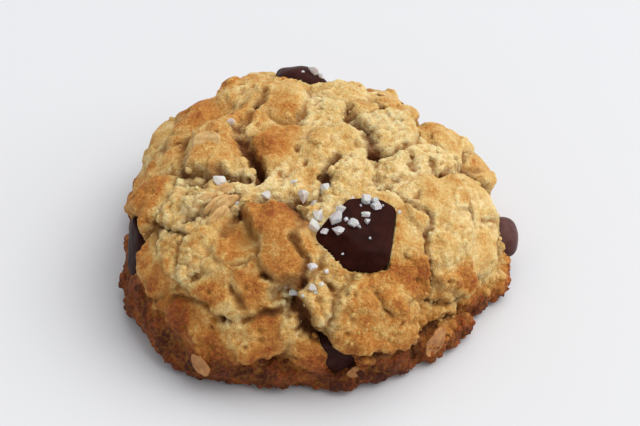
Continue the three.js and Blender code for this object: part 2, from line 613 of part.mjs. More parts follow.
// A chunk with rounded edges, grown by `extra`.
function chunkGeometry(chunk, extra) {
  const geometry = closedGeometry(new THREE.IcosahedronGeometry(1, chunk.detail));
  const position = geometry.attributes.position;
  const direction = new THREE.Vector3();
  for (let i = 0; i < position.count; i += 1) {
    direction.fromBufferAttribute(position, i).normalize();
    direction.multiplyScalar(fullness(direction, chunk, extra) ** (-1 / chunk.rounding));
    position.setXYZ(i, direction.x, direction.y, direction.z);
  }
  const place = placeOn(chunk.azimuth, chunk.arc);
  return geometry.applyMatrix4(seat(place, chunk.sunk, chunk.turn, chunk.lean));
}

// A salt crystal: an icosahedron with uneven corners.
function crystalGeometry(length, seed) {
  const geometry = closedGeometry(new THREE.IcosahedronGeometry(1, 0));
  const position = geometry.attributes.position;
  for (let i = 0; i < position.count; i += 1) {
    const stretch = length * (0.8 + 0.4 * hash(i, seed, 3, 61));
    position.setXYZ(
      i,
      position.getX(i) * stretch * SALT_PROPORTION[0],
      position.getY(i) * stretch * SALT_PROPORTION[1],
      position.getZ(i) * stretch * SALT_PROPORTION[2],
    );
  }
  return geometry;
}

function saltOnDough(crystal, i) {
  const angle = THREE.MathUtils.degToRad(crystal.azimuth);
  const section = sectionAt('arc', crystal.arc);
  const place = { point: crustPoint(angle, section), normal: smoothPlace(angle, section).normal };
  const depth = crystal.length * SALT_PROPORTION[2] * (2 * SALT_SUNK - 1);
  return crystalGeometry(crystal.length, i).applyMatrix4(seat(place, depth, 360 * hash(i, 1, 1, 62), 0));
}

function saltOnChunk(crystal, i, chunk) {
  const face = chunkHeight(chunk, crystal.across, crystal.along);
  const lift = face + crystal.length * SALT_PROPORTION[2] * (1 - 2 * SALT_SUNK);
  const matrix = seat(placeOn(chunk.azimuth, chunk.arc), chunk.sunk, chunk.turn, chunk.lean);
  const geometry = crystalGeometry(crystal.length, i + SALT_ON_DOUGH.length);
  return geometry.translate(crystal.across, crystal.along, lift).applyMatrix4(matrix);
}

// A rolled oat: a thin oval flake.
function oatGeometry(oat) {
  const geometry = closedGeometry(new THREE.SphereGeometry(1, 10, 4).rotateX(Math.PI / 2));
  geometry.scale(...OAT_PROPORTION.map((share) => share * oat.length));
  const angle = THREE.MathUtils.degToRad(oat.azimuth);
  const section = sectionAt('arc', oat.arc);
  const place = { point: crustPoint(angle, section), normal: smoothPlace(angle, section).normal };
  return geometry.applyMatrix4(seat(place, 0, oat.turn, oat.tilt));
}

// ---------- Joining and cutting ----------

const wasm = await Module();
wasm.setup();

// Geometry with shared corners and nothing but positions.
function closedGeometry(geometry) {
  geometry.deleteAttribute('normal');
  geometry.deleteAttribute('uv');
  return mergeVertices(geometry, 1e-5);
}

function solidOf(geometry) {
  const vertProperties = Float32Array.from(geometry.attributes.position.array);
  const triVerts = Uint32Array.from(geometry.index.array);
  return new wasm.Manifold(new wasm.Mesh({ numProp: 3, vertProperties, triVerts }));
}

// The largest body of a solid as a geometry, without any scrap that a cut left loose.
function geometryOf(solid) {
  const bodies = solid.decompose();
  const largest = bodies.reduce((best, body) => (body.volume() > best.volume() ? body : best));
  const mesh = largest.getMesh();
  const geometry = new THREE.BufferGeometry();
  geometry.setAttribute('position', new THREE.BufferAttribute(Float32Array.from(mesh.vertProperties), 3));
  geometry.setIndex(new THREE.BufferAttribute(Uint32Array.from(mesh.triVerts), 1));
  return geometry;
}

// ---------- Assembly ----------

const MATERIALS = {
  dough: new THREE.MeshStandardMaterial({ color: 0xd0a465, roughness: 0.85, metalness: 0 }),
  chocolate: new THREE.MeshStandardMaterial({ color: 0x3a1f1b, roughness: 0.35, metalness: 0 }),
};

function named(geometry, material, name) {
  const mesh = new THREE.Mesh(geometry, material);
  mesh.name = name;
  return mesh;
}

function buildCookie() {
  const cookie = new THREE.Group();
  const saltedChunk = CHUNKS[0];
  const chunkSalt = SALT_ON_CHUNK.map((crystal, i) => saltOnChunk(crystal, i, saltedChunk));

  let dough = solidOf(doughGeometry());
  SALT_ON_DOUGH.forEach((crystal, i) => {
    dough = dough.add(solidOf(saltOnDough(crystal, i)));
  });
  for (const oat of OATS) {
    dough = dough.add(solidOf(oatGeometry(oat)));
  }
  for (const chunk of CHUNKS) {
    dough = dough.subtract(solidOf(chunkGeometry(chunk, CHUNK_CLEARANCE)));
  }
  cookie.add(named(geometryOf(dough), MATERIALS.dough, 'dough'));

  for (const chunk of CHUNKS) {
    let stone = solidOf(chunkGeometry(chunk, 0));
    if (chunk === saltedChunk) {
      for (const crystal of chunkSalt) {
        stone = stone.add(solidOf(crystal));
      }
    }
    cookie.add(named(geometryOf(stone), MATERIALS.chocolate, chunk.name));
  }
  return cookie;
}

export default buildCookie();
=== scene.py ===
"""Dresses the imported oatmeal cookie: crumbly browned dough, chocolate chunks, salt and oats.

Shapes are worked out in millimetres and become metres when they reach a mesh. A place on the
cookie is an azimuth, in degrees from +X towards +Y, and an arc: the way in mm from the middle
of the crown down over the cookie's smooth form. The camera looks from -Y.
"""

import math

import bpy
import numpy as np
from mathutils import Matrix, Vector


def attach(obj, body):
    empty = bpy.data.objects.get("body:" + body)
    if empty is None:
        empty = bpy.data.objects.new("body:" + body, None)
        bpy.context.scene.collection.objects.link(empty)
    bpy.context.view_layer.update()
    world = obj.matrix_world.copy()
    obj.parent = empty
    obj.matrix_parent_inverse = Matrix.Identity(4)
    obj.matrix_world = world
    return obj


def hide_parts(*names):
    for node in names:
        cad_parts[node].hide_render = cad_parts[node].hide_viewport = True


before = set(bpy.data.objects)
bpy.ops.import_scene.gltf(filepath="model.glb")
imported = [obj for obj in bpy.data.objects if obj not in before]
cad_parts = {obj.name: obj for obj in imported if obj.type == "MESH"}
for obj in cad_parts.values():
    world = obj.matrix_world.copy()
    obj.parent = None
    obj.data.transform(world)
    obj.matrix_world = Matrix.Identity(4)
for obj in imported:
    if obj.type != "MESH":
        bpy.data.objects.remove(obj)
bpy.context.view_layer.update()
MM = 0.001

# ---------- The smooth form ----------

WIDTH = 76
HEIGHT = 29.2
WAIST_HEIGHT = 5.3  # where the wall stands upright
FOOT_INSET = 2.5  # how far the flat underside stays inside the waist
CROWN_FLATNESS = 3  # powers of the crown's superellipse, 2 is a plain ellipse
CROWN_FULLNESS = 2.25
FOOT_ROUNDNESS = 2.2
OUTLINE_LOBES = (  # waves in the outline: how many, how large a share, pointing where
    (1, 0.028, -93),
    (3, 0.045, -3),
    (4, 0.012, 38),
)
FOOT_LOBE = {"count": 1, "share": 0.008, "azimuth": -100, "above": 14, "full": 4}
CROWN_STEPS = 200
FOOT_STEPS = 60
UNDERSIDE_SHARE = 0.3  # how dense the flat underside's faces are

# ---------- Relief of the crust ----------

# Raised and sunk pieces of crust: azimuth, arc, rise, reach over others, toasted, crumbly. Where marked,
# toasted also paints shade.
PLATES = {
    "rear left shoulder": (138, 27.5, 0.3, 2, 0.55, 0.2),
    "rear hollow": (125, 24, 0.6, 0, 0.25, 0.5),
    "far rear": (121, 29, 1.0, 1, 0.5, 0.2),
    "rear ridge": (110, 15, 1.5, 2, 0.35, 0.2),
    "rear ridge foot": (138, 12, 1.0, 0, 0.45, 0.3),
    "rear crown": (74, 13, 0.5, 1, 0.05, 0.65),
    "rear crown, far side": (69, 23, 0.9, 1, 0.15, 0.6),
    "gully head": (54, 19, 1.2, -1, 0.35, 0.4),
    "rear right crown": (48, 29, 0.9, 1, 0.25, 0.3),
    "rear right side": (42, 36, -1.3, 1, 0.25, 0.3),
    "behind the gully": (22, 16.5, 1.2, 1, 0.1, 0.6),
    "right shoulder": (20, 31, 0.5, 2, 0.25, 0.3),
    "right shoulder foot": (12, 36, 0.9, 0, 0.35, 0.3),
    "right foot, rear": (15, 48.5, -0.6, 1, 0.5, 0.3),
    "crown": (165, 6.5, 1.1, 2, 0.5, 0.3),
    "crown front": (2, 3.5, 1.2, 1, 0.25, 0.5),
    "crown slope": (-97, 7, 0.3, 0, 0.25, 0.6),
    "flake plate": (-178, 16.5, 2.0, 2, 0.35, 0.35),
    "left of the flake": (173, 29, 1.0, 0, 0.45, 0.3),
    "left shoulder": (154, 39, 0.9, 0, 0.3, 0.3),
    "left shoulder foot": (176, 34, 0.9, 0, 0.5, 0.4),
    "left foot": (180, 47.5, -0.6, 1, 0.6, 0.4),
    "rear left side": (131, 35, -1.0, 1, 0.5, 0.2),
    "left lump": (-166, 33, 1.5, 1, 0.45, 0.5),
    "crumbly patch": (-146, 26, 1.1, 0, 0.15, 1.0),
    "above the crumbly patch": (-158, 24.5, 0.8, -1, 0.15, 1.0),
    "under the flake plate": (-139, 16, 0.8, -1, 0.1, 0.6),
    "shelf": (-108, 12, 0.5, 1, 0.05, 0.6),
    "middle": (-42, 12, 0.9, 1, 0.12, 0.9),
    "middle, right": (-19, 16.5, 0.4, 0, 0.05, 0.7),
    "beside the big chunk": (-84, 17.5, 0.4, -1, 0.0, 0.9),
    # The collar's toast also paints the big chunk's shade on it.
    "collar of the big chunk": (-47, 27.5, 0.7, 0, 0.28, 0.4),
    "right crown": (-20, 27.5, 1.2, 1, 0.22, 0.4),
    "right crown, rear": (1, 24, 0.9, 0, 0.05, 0.55),
    "right edge": (-5, 35.5, -0.2, 1, 0.15, 0.4),
    "right side": (-32, 34, 0.9, 1, 0.15, 0.6),
    "right cheek": (-22, 43, 0.2, 2, 0.25, 0.3),
    "right cheek, front": (-37, 41.5, 0.9, 1, 0.55, 0.6),
    "right cheek, foot": (-46, 46, 0.1, 1, 0.4, 0.6),
    "right foot, front": (-30, 49.5, -0.6, 1, 0.5, 0.5),
    "front foot": (-68, 53, 0.7, 1, 0.75, 0.5),
    "front foot, left": (-98, 52, -0.9, 1, 0.75, 0.6),
    "slab, top": (-78, 32.3, 1.0, -1, 0.3, 0.7),
    "slab, top right": (-58, 35.5, 1.4, 0, 0.75, 0.7),
    "slab": (-70, 41, 2.1, 4.5, 0.45, 0.6),
    "slab tip": (-90, 36, 1.8, 0.5, 0.2, 0.3),
    "left cheek": (-142, 38, 0.8, 1, 0.55, 0.4),
    "left cheek, top": (-142, 33, 0.9, -1, 0.25, 1.0),
    "between cheek and knob": (-129, 31, 0.9, 0, 0.25, 1.0),
    # The pale flake's toast also paints the shade on this front-left, downward face.
    "pale flake": (-119, 35.5, 1.3, 1, 0.6, 0.2),
    "pale flake foot": (-112, 39, 0.6, -1, 0.1, 0.5),
    "low left lump": (-126, 43.5, 0.6, 1.5, 0.75, 0.5),
    "low left lump, right": (-116, 43.7, 0.2, 0, 0.6, 0.6),
    "low ledge": (-110, 42, 1.0, -1, 0.5, 0.3),
    "side lump": (-100, 41.5, 1.3, 2, 0.65, 0.1),
    "side lump, right": (-92, 43.5, 0.8, 1, 0.5, 0.0),
    "low left recess": (-145, 48.5, -0.4, 1, 0.6, 0.4),
    "low left foot": (-129, 50.5, -0.3, 2, 0.8, 0.4),
    "knob": (-107, 20, 2.7, 1, 0.8, 0.15),
    "knob, crest": (-105, 20.5, 3.7, -1, 1.0, 0.1),
    "knob, front": (-98, 28, 2.8, 1.5, 0.45, 0.1),
    "knob, foot": (-107, 33, 1.8, 1, 0.5, 0.15),
    "knob, left": (-119, 25.5, 1.0, 1, 0.5, 0.15),
    "beside the knob": (-98, 34.3, -0.3, -1, 0.0, 1.0),
}

# Deep splits in the crust: depth, width and the places that each runs through.
CREVICES = {
    "rear split": (1.7, 1.0, ((115, 18), (126, 16.5), (140, 15), (158, 15), (169, 13.5))),
    "flake plate edge": (3.4, 1.2, ((169, 13.5), (-174, 11.5), (-154, 10.5), (-133, 12))),
    "left fold": (1.5, 0.9, ((170, 33), (168, 30.5), (165, 25))),
    "flake groove": (1.6, 1.3, ((170, 26), (-175, 25.5), (-165, 23.5))),
    "under the flake plate": (2.2, 1.1, ((-161, 25), (-156, 22), (-157, 18), (-146, 15), (-140, 14))),
    "oat gap": (2.2, 1.2, ((-142, 27), (-138, 24.5), (-137, 21.5), (-135, 18))),
    "left chunk split": (1.3, 0.9, ((-156, 34), (-150, 32), (-139, 29.5))),
    "cheek crack": (1.2, 0.8, ((-141, 30), (-137, 32), (-134, 34))),
    "gully": (2.0, 1.1, ((57, 15.5), (46, 12.5), (25, 12.5), (8, 11.7), (-10, 12.6))),
    "gully, right": (1.6, 0.9, ((-9, 13.5), (-8, 16.3), (4, 18.2))),
    "gully end": (1.1, 0.8, ((0, 19.7), (-12, 20))),
    "right curl": (1.3, 0.8, ((-3, 23.5), (-9, 24.7), (-8, 26.6), (-1, 28.4))),
    "right split": (1.2, 0.8, ((5, 29), (1, 30.5), (6, 33), (8, 37))),
    "right split, low": (1.3, 0.8, ((-5, 30.8), (-10, 31), (-18, 32.6), (-20, 36.3))),
    "slit": (0.9, 0.6, ((-24, 23), (-32, 24.6))),
    "collar split, top": (1.3, 0.7, ((-34, 21.5), (-37, 25), (-34, 27))),
    "collar split": (2.0, 0.9, ((-35, 28), (-42, 31), (-46, 34.5), (-48, 37), (-50, 42.5), (-46, 44.7))),
    "crown split": (3.0, 1.2, ((-33, 6), (-59, 7.5), (-72, 11.3))),
    "shelf edge": (1.6, 1.0, ((-122, 15.3), (-94, 15.7), (-82, 15), (-79, 13))),
    "middle split": (1.2, 0.7, ((-43, 16.8), (-37, 19.3), (-33, 21.4))),
    "knob edge, right": (1.8, 1.2, ((-99, 17), (-93, 20.3), (-94, 25), (-89, 28.3), (-92, 31.3))),
    "knob edge, front": (1.5, 0.8, ((-105, 30.6), (-99, 31.2), (-92, 31.6))),
    "knob edge, left": (1.6, 1.2, ((-127, 25), (-128, 21.4), (-126, 18.6))),
    "knob edge, foot": (1.4, 0.8, ((-115, 33.4), (-111, 35.3), (-109, 37))),
    "crease under the knob": (1.9, 0.9, ((-92, 36.8), (-98, 37), (-107, 39.2), (-112, 40))),
    "low left lip": (1.6, 0.9, ((-134, 45), (-131, 40.4), (-125, 38.5), (-115, 39.7), (-112, 40))),
    "cheek edge": (1.2, 1.0, ((-152, 41.7), (-144, 43), (-137, 43.5))),
    "slab edge, left": (4.0, 1.1, ((-95, 35), (-91, 37.4), (-90, 40), (-84, 45))),
    "slab edge, low": (
        3.8, 1.2, ((-84, 45), (-80, 46.5), (-70, 47.3), (-60, 48.6), (-51, 48.4), (-44, 49)),
    ),
    "front notch": (3.0, 1.4, ((-59, 48.8), (-57, 54))),
    "slab crack": (1.1, 0.6, ((-68, 36), (-67, 38.5), (-65, 40))),
    "slab crack, top": (1.0, 0.7, ((-83, 33.4), (-78, 34.1), (-74, 33.4))),
    "right low curl": (1.1, 0.7, ((-44, 45.4), (-41, 45.7), (-39, 48))),
    "side lump foot": (1.3, 0.8, ((-102, 46.8), (-96, 46.5), (-86, 46.9))),
    "right foot edge": (1.6, 1.0, ((-44, 49), (-39, 50), (-30, 50))),
}

# Round holes in the crust: azimuth, arc, depth, width.
PITS = {
    "by the crown": (-152, 10.5, 3.4, 1.5),
    "behind the middle": (-9, 12.4, 3.4, 1.6),
    "rear hollow, upper": (132, 19.6, 1.2, 0.7),
    "rear hollow, lower": (144, 20.4, 1.6, 0.9),
    "rear hollow, far": (123, 24, 1.2, 0.8),
    "right crater": (20, 23, 1.3, 1.2),
    "right crater, low": (11, 24, 1.5, 1.3),
    "crown": (-144, 2.2, 1.2, 0.9),
    "crown, right": (-20, 8.7, 1.2, 0.8),
    "crumbly patch": (-155, 26.5, 1.3, 0.8),
    "beside the pale flake": (-128, 34.4, 1.3, 0.9),
    "middle": (-26, 19, 1.6, 1.0),
    "slab, top": (-75, 36, 1.1, 0.7),
    "slab, middle": (-63, 42.8, 1.1, 0.6),
    "slab, crater": (-59, 39.6, 1.3, 0.9),
    "slab, right": (-58, 45.3, 1.3, 0.8),
    "right side, top": (-43, 39.6, 1.2, 0.6),
    "right side": (-41, 41.7, 1.5, 0.9),
    "right cheek": (-33, 46, 1.6, 1.0),
    "right cheek, rear": (-21, 46, 1.0, 0.6),
    "skirt": (-100, 47.6, 2.0, 1.2),
    "low left lump": (-117, 42.2, 1.2, 0.6),
}

RELIEF_LEVEL = 2.6  # taken off all relief, so that the crust keeps to the smooth form
SHINGLE = 0.06  # how much a plate rises for each mm downhill
RISE_SCALE = 1.35
PLATE_SWELL = 1.6  # how far a plate's middle swells above its rim
PLATE_SWELL_WIDTH = 2.6  # over what distance from the rim
LEDGE_WIDTH = 0.45  # how wide the step from one plate to the next is where they have parted
PARTING = 0.5  # how readily the rims of plates part, for each mm of step between them
CLOSED_LEDGE = 2.5  # how much wider it is where the rims have stayed closed
CLOSED_SWELL = 0.15  # the share of the swell's valley that is left there
EDGE_KEPT = 0.75  # the share of its swell that the higher plate keeps up to its edge
CRUMBLY = (0.2, 0.95)  # from where a plate's crumb value counts, and where it counts in full
CRACK_DEPTH = 1.1  # the cracks that part of the plate rims have
CRACK_WIDTH = 0.6
CRACK_PATCH = 9.0  # length of the stretches where rims crack or stay closed
CRACK_SWING = 1.3  # how much more or less readily they part there
CREVICE_PATCH = 4.0  # length of the stretches where a crevice is deep or shallow
CREVICE_DEPTHS = (0.85, 0.5)  # its mean depth as a share, and how far that swings
RAGGEDNESS = 1.3  # how far rims wander
RAGGED_LENGTH = 6.0
FRAY = 0.6  # the finer wandering on top of it
FRAY_LENGTH = 2.2
FINE_FRAY = 0.22
FINE_FRAY_LENGTH = 0.9
FILLER_SPACING = 9.0  # filler plates lie where PLATES leaves the crust free
FILLER_COUNT = 80
FILLER_RISE = 1.6
FILLER_TOAST = (0.2, 0.6)
FILLER_SEED = 5
GOLDEN_TURN = 137.508

# Flakes of oats under the crust, strewn evenly.
FLAKE_COUNT = 110
FLAKE_LENGTHS = (4.5, 7.0)
FLAKE_PROPORTION = 0.68  # width as a share of length
FLAKE_RISES = (0.2, 0.75)
FLAKE_TILT = 0.16  # steepest slope of a flake's face
FLAKE_EDGE = (0.86, 1.02)  # where a flake's face falls away, as a share of its radius
FLAKE_FRAY = 0.5  # the share of the rims' wandering that its edge takes up
FLAKE_TURN = 40  # how far the flakes' spiral is turned from the filler plates' one
FLAKE_SEED = 6

# Rounded lumps of dough: spacing, height, share of the height where nothing is crumbly, seed.
LUMPS = ((5.0, 0.8, 0.2, 21), (2.4, 0.5, 0.08, 22))
WAVES = ((16.0, 0.8, 31), (5.5, 0.8, 32), (2.6, 0.25, 33))  # under it all: length, height, seed
UNDERSIDE_FADE = 8.0  # how far the relief runs in under the cookie
HOLLOW_DEPTH = 2.0  # a crack or pit of this depth counts as fully hollow
RIM_NOTED = 3.0  # how far from a rim its distance is still told apart

# The crust's fine relief: crumb in three sizes, torn ridges and pores. Rough is a height where
# the crust is rough, foot is one at the cookie's foot, and everywhere is one all over it.
# Heights are how much the single ones differ, and rim is how wide the edges between them are.
CRUMB_FRAY = {"length": 0.9, "reach": 0.25}  # how the outlines of the crumb wander
CLODS = {"size": 1.7, "heights": (0.3, 1.0), "rim": (0.02, 0.35), "rough": 0.42, "foot": 0.45}
GRAINS = {"size": 0.85, "everywhere": 0.05, "rough": 0.1, "foot": 0.1}
LOBES = {"size": 3.1, "heights": (0.4, 1.0), "rim": (0, 0.5), "fray": 0.5, "foot": 0.5}
TORN = {"length": 1.9, "rough": 0.24}
PORES = {"spacing": 2.8, "widths": (0.35, 1.15), "share": 0.45, "depth": 1.1}
ROUGH = {"least": 0.12, "crumb": 0.9, "hollow": 0.3, "most": 1.2}  # how rough the crust is
FOOT_HEIGHTS = (6, 13)  # height up to which the foot is fully lumpy, and where that ends
FLOOR_FADE = (0.3, 1.5)  # heights between which the fine relief sets in
FLOOR_SNAP = 0.15  # what ends up lower than this lies on the floor

# ---------- Toppings ----------

# Chocolate chunks. Sides are upright faces: direction, distance from the middle. Slants are
# sloping faces: direction, how steeply they look up, distance. Sunk is how far the middle lies
# under the smooth form, and lean tips the chunk's top uphill. A higher rounding keeps edges
# sharper. The crust keeps to `rim` above the smooth form within `reach` of a place that is
# `bared` downhill of the middle. Slip is how far the dough has drawn back, across and uphill.
# Bloom is how hazy the chocolate looks: real bloom, and on the front chunk a painted greyish sheen of
# reflected light.
CHUNKS = {
    "chunk_top": {
        "azimuth": -67, "arc": 24, "sunk": 0.9, "lean": 2, "turn": -23, "top": 3.6, "bottom": 4,
        "rounding": 20, "rim": 0.7, "reach": 8, "bared": 0, "slip": (0.3, 0.1), "bloom_and_sheen": 0,
        "sides": ((57, 8.3), (98, 6.1), (141, 5.1), (188, 8), (241, 8), (272, 8), (301, 8.5), (353, 6.6)),
        "slants": ((60, 84, 3.3), (227, 60, 4.6), (275, 62, 5.4)),
    },
    "chunk_back": {
        "azimuth": 92, "arc": 32, "sunk": 1.3, "lean": 0, "turn": 10, "top": 3.5, "bottom": 4,
        "rounding": 8, "rim": -0.6, "reach": 5, "bared": 0, "slip": (0, 0), "bloom_and_sheen": 0.15,
        "sides": ((0, 5.4), (60, 4.9), (120, 5.3), (180, 5.5), (240, 4.8), (300, 5.2)),
        "slants": ((170, 50, 3.4), (20, 60, 4.4), (250, 62, 3.9), (95, 60, 4)),
    },
    "chunk_left": {
        "azimuth": -161, "arc": 42.5, "sunk": 4.4, "lean": 6, "turn": 0, "top": 3.4, "bottom": 4,
        "rounding": 12, "rim": -2.0, "reach": 5, "bared": 0, "slip": (0, 0), "bloom_and_sheen": 0,
        "sides": (
            (0, 5.4), (55, 5.9), (95, 5.3), (150, 5.7), (180, 5.6), (235, 5.8), (275, 5.4), (320, 5.8),
        ),
        "slants": ((20, 60, 4.6), (200, 70, 3.9)),
    },
    "chunk_front": {
        "azimuth": -80, "arc": 47.8, "sunk": 4.3, "lean": 10, "turn": 0, "top": 3.2, "bottom": 4,
        # Its bloom is a painted greyish sheen of reflected light.
        "rounding": 12, "rim": -2.6, "reach": 2, "bared": 1.5, "slip": (0, 0), "bloom_and_sheen": 0.12,
        "sides": ((0, 6), (50, 5.4), (90, 4), (140, 5.4), (185, 6), (240, 4.6), (280, 4), (320, 5.2)),
        "slants": ((200, 66, 4.3), (330, 64, 4.4)),
    },
    "chunk_right": {
        "azimuth": -3, "arc": 49.5, "sunk": 0.8, "lean": 0, "turn": 5, "top": 3.5, "bottom": 4,
        "rounding": 6, "rim": -1, "reach": 4, "bared": 0, "slip": (0, 0), "bloom_and_sheen": 0.55,
        "sides": ((0, 4), (60, 4), (120, 4.3), (180, 4.1), (240, 3.8), (300, 4.2)),
        "slants": ((75, 50, 3.5), (200, 60, 3.9), (320, 50, 3.8)),
    },
}
CHOCOLATE_WAVES = ((5.5, 0.035, 71), (2.4, 0.022, 72))  # length, share of the size, seed
RIM_SLOPE = 2.5  # over what distance the crust comes back to its own relief
POCKET_CLEARANCE = 0.12  # gap between a chunk and the dough round it
HEIGHT_TRIES = 200  # heights that are tried to find a chunk's upper side

# Salt crystals on the dough: azimuth, arc, length.
SALT_ON_DOUGH = (
    (-151, 18.3, 2.8), (-120, 13.9, 1.9), (-92, 13.5, 2.4), (-85, 15.6, 1.9), (-74, 13.1, 2.4),
    (-132, 18.3, 1.6), (156, 16.4, 1.8), (-84, 19.6, 2.4), (-86, 21.8, 2.3), (-94, 33.2, 2.0),
    (-88, 33, 1.5), (-88, 29.6, 1.8), (-103, 10.2, 1.2), (-44, 24, 0.9), (-83, 30.4, 1.0),
    (-90, 32, 0.8), (-85, 32.6, 0.9), (-91, 34.3, 0.7), (-87, 34, 0.7), (-97, 32.4, 0.7),
)
# Salt crystals on chunks: way across and up from the chunk's middle, length.
SALT_ON_CHUNKS = {
    "chunk_top": (
        (-0.9, 6.2, 2.5), (1.3, 5.8, 1.8), (3.0, 6.0, 1.6), (3.4, 4.7, 1.9), (1.4, 2.6, 1.4),
        (1.6, 1.4, 1.1), (-3.4, 3.2, 1.9), (-4.0, 1.3, 2.8), (-3.7, -1.2, 2.0), (-1.0, 0.5, 2.1),
        (-6.1, -1.3, 1.5), (0.2, 0, 0.7), (-2.3, 1.2, 0.9), (-7, -3.8, 0.8), (4.6, 5.2, 0.6),
        (2.4, 4.9, 0.5), (0.4, 4.6, 0.5), (0.9, 2.9, 0.7), (2.2, -2.2, 0.5), (-2.6, -5.3, 0.5),
    ),
    "chunk_back": ((-1.6, 4.3, 2.0), (-3.0, 4.0, 1.4), (0.8, 4.4, 0.7)),
}
SALT_PROPORTION = (0.5, 0.42, 0.38)  # half length, half width and half height of a length
SALT_SUNK = 0.25  # share of the height that is sunk
CRYSTAL_CUTS = 12  # corners struck off
CRYSTAL_CUT_REACH = (0.62, 0.95)  # how far from the middle of a block of half length 1
CRYSTAL_BEVEL = 0.06
CRYSTAL_SPREAD = (0.85, 1.15)  # how much each measure varies
CRYSTAL_TIP = 15  # how far a crystal lies tipped, in degrees
CRYSTAL_SEED = 62
FIRST_SEEDS = {"dough": 100, "chunks": 200}  # the crystals' seeds are counted on from these

# Rolled oats that lie bare in the crust: azimuth, arc, length, turn about the normal, and how
# far each stands up on its long edge.
OATS = (
    (178, 20.0, 6.0, 75, 20), (-141, 18.9, 5.6, 80, 74), (-135.5, 20.4, 7.2, 80, 78),
    (-132, 22.9, 5.8, 88, 74), (-141.5, 22.6, 5.6, 76, 70), (-138, 21.4, 6.2, 84, 80),
    (-118, 49.5, 5.0, 120, 0), (-51, 50.5, 6.4, 65, 0),
    (52, 30, 5.6, 20, 8), (62, 38, 6.0, 140, 8), (118, 44, 5.6, 35, 8), (-76, 51.8, 3.6, 20, 0),
)
OAT_PROPORTION = (0.5, 0.36, 0.055)  # half length, half width and half thickness of a length
OAT_LIFTS = (0.1, 0.7)  # how far they lie above the crust, on the crown and at the foot
# The form of a flake whose half length, half width and half thickness are 1.
OAT_EDGE = (0.07, 0.6)  # how ragged it is, and the length of its waves
OAT_CREASE = {"depth": 0.8, "width": 0.12, "ends": (0.7, 0.95)}
OAT_RIBS = (0.2, 16)  # their height, and how closely they lie
OAT_BEND = (0.4, 0.5)  # how far its ends and its sides bend down
OAT_WAVES = (1.4, 0.9)  # height, length
OAT_SHADES = (0.3, 1.0)  # how browned, on the crown and at the foot
OAT_SHIFT = 3.7  # how far one flake lies from the next in the noise that shapes them

# Loose clods of crumb: how many, how large, how much rarer the large ones are, how deeply sunk,
# how much they gather where it is crumbly and in hollows, from what height up they lie, how
# their measures vary, how uneven and how rounded they are, and how much paler than the crust.
CRUMBS = {
    "count": 320, "sizes": (0.5, 2.0), "rarity": 2.5, "sunk": 0.2, "gathering": 1.5, "hollows": 0.4,
    "heights": (5, 9), "proportions": (0.7, 1.2), "uneven": (0.35, 0.7), "rounded": 0.8,
    "shades": (-0.12, 0.0), "seed": 9,
}

# ---------- How finely the pieces are made ----------

SPHERE_CUTS = 12  # cuts of each cube edge, made twice
DOUGH_VOXEL = 0.426  # size of the dough's faces
DENT_ROUNDS = {"dent": 4, "wide_dent": 40}  # how many times a surface is smoothed to find its dents
UNDERSIDE_LEVEL = 0.02  # height in mm up to which faces belong to the flat underside


# ---------- Noise ----------

# A seed is the last argument of what follows: another seed gives another pattern.
SCRAMBLING = (127.1, 311.7, 74.7, 53.3)  # uneven factors, so that neighbours come out unlike
SCRAMBLING_GAIN = 43758.5453
NOISE_GAIN = 1.6  # brings the noise to about -1 to 1
FAR_AWAY = 9.0  # more cells than any nearest point is away


def random_at(i, j, k, seed):
    """The same number from 0 to 1 for the same whole numbers and seed."""
    turn = sum(number * factor for number, factor in zip((i, j, k, seed), SCRAMBLING))
    wave = np.sin(turn) * SCRAMBLING_GAIN
    return wave - np.floor(wave)


def ease(t):
    return t * t * t * (t * (t * 6 - 15) + 10)


def smoothstep(value, low, high):
    t = np.clip((value - low) / (high - low), 0, 1)
    return t * t * (3 - 2 * t)


def between(ends, share):
    return ends[0] + (ends[1] - ends[0]) * share


def noise(points, length, seed):
    """Smooth noise of about -1 to 1, with bumps of about the given length."""
    at = points / length
    cell = np.floor(at)
    inside = at - cell
    eased = ease(inside)
    total = np.zeros(len(points))
    for corner in range(8):
        step = np.array([corner & 1, corner >> 1 & 1, corner >> 2 & 1])
        i, j, k = (cell + step).T
        slope = np.zeros(len(points))
        for axis in range(3):
            gradient = 2 * random_at(i, j, k, seed + 0.37 * (axis + 1)) - 1
            slope += gradient * (inside[:, axis] - step[axis])
        total += slope * np.prod(np.where(step, eased, 1 - eased), axis=1)
    return total * NOISE_GAIN


def nearest_points(points, cell_size, seed):
    """Distance to the nearest and second nearest of points strewn one to a cell, in cells,
    and a random number that belongs to the nearest."""
    at = points / cell_size
    cell = np.floor(at)
    first = np.full(len(points), FAR_AWAY)
    second = first
    owner = np.zeros(len(points))
    for n in range(27):
        step = np.array([n % 3 - 1, n // 3 % 3 - 1, n // 9 - 1])
        i, j, k = (cell + step).T
        dx = i + random_at(i, j, k, seed) - at[:, 0]
        dy = j + random_at(i, j, k, seed + 0.5) - at[:, 1]
        dz = k + random_at(i, j, k, seed + 0.9) - at[:, 2]
        away = np.sqrt(dx * dx + dy * dy + dz * dz)
        closer = away < first
        second = np.where(closer, first, np.minimum(second, away))
        owner = np.where(closer, random_at(i, j, k, seed + 1.3), owner)
        first = np.where(closer, away, first)
    return first, second, owner


# ---------- The smooth form ----------


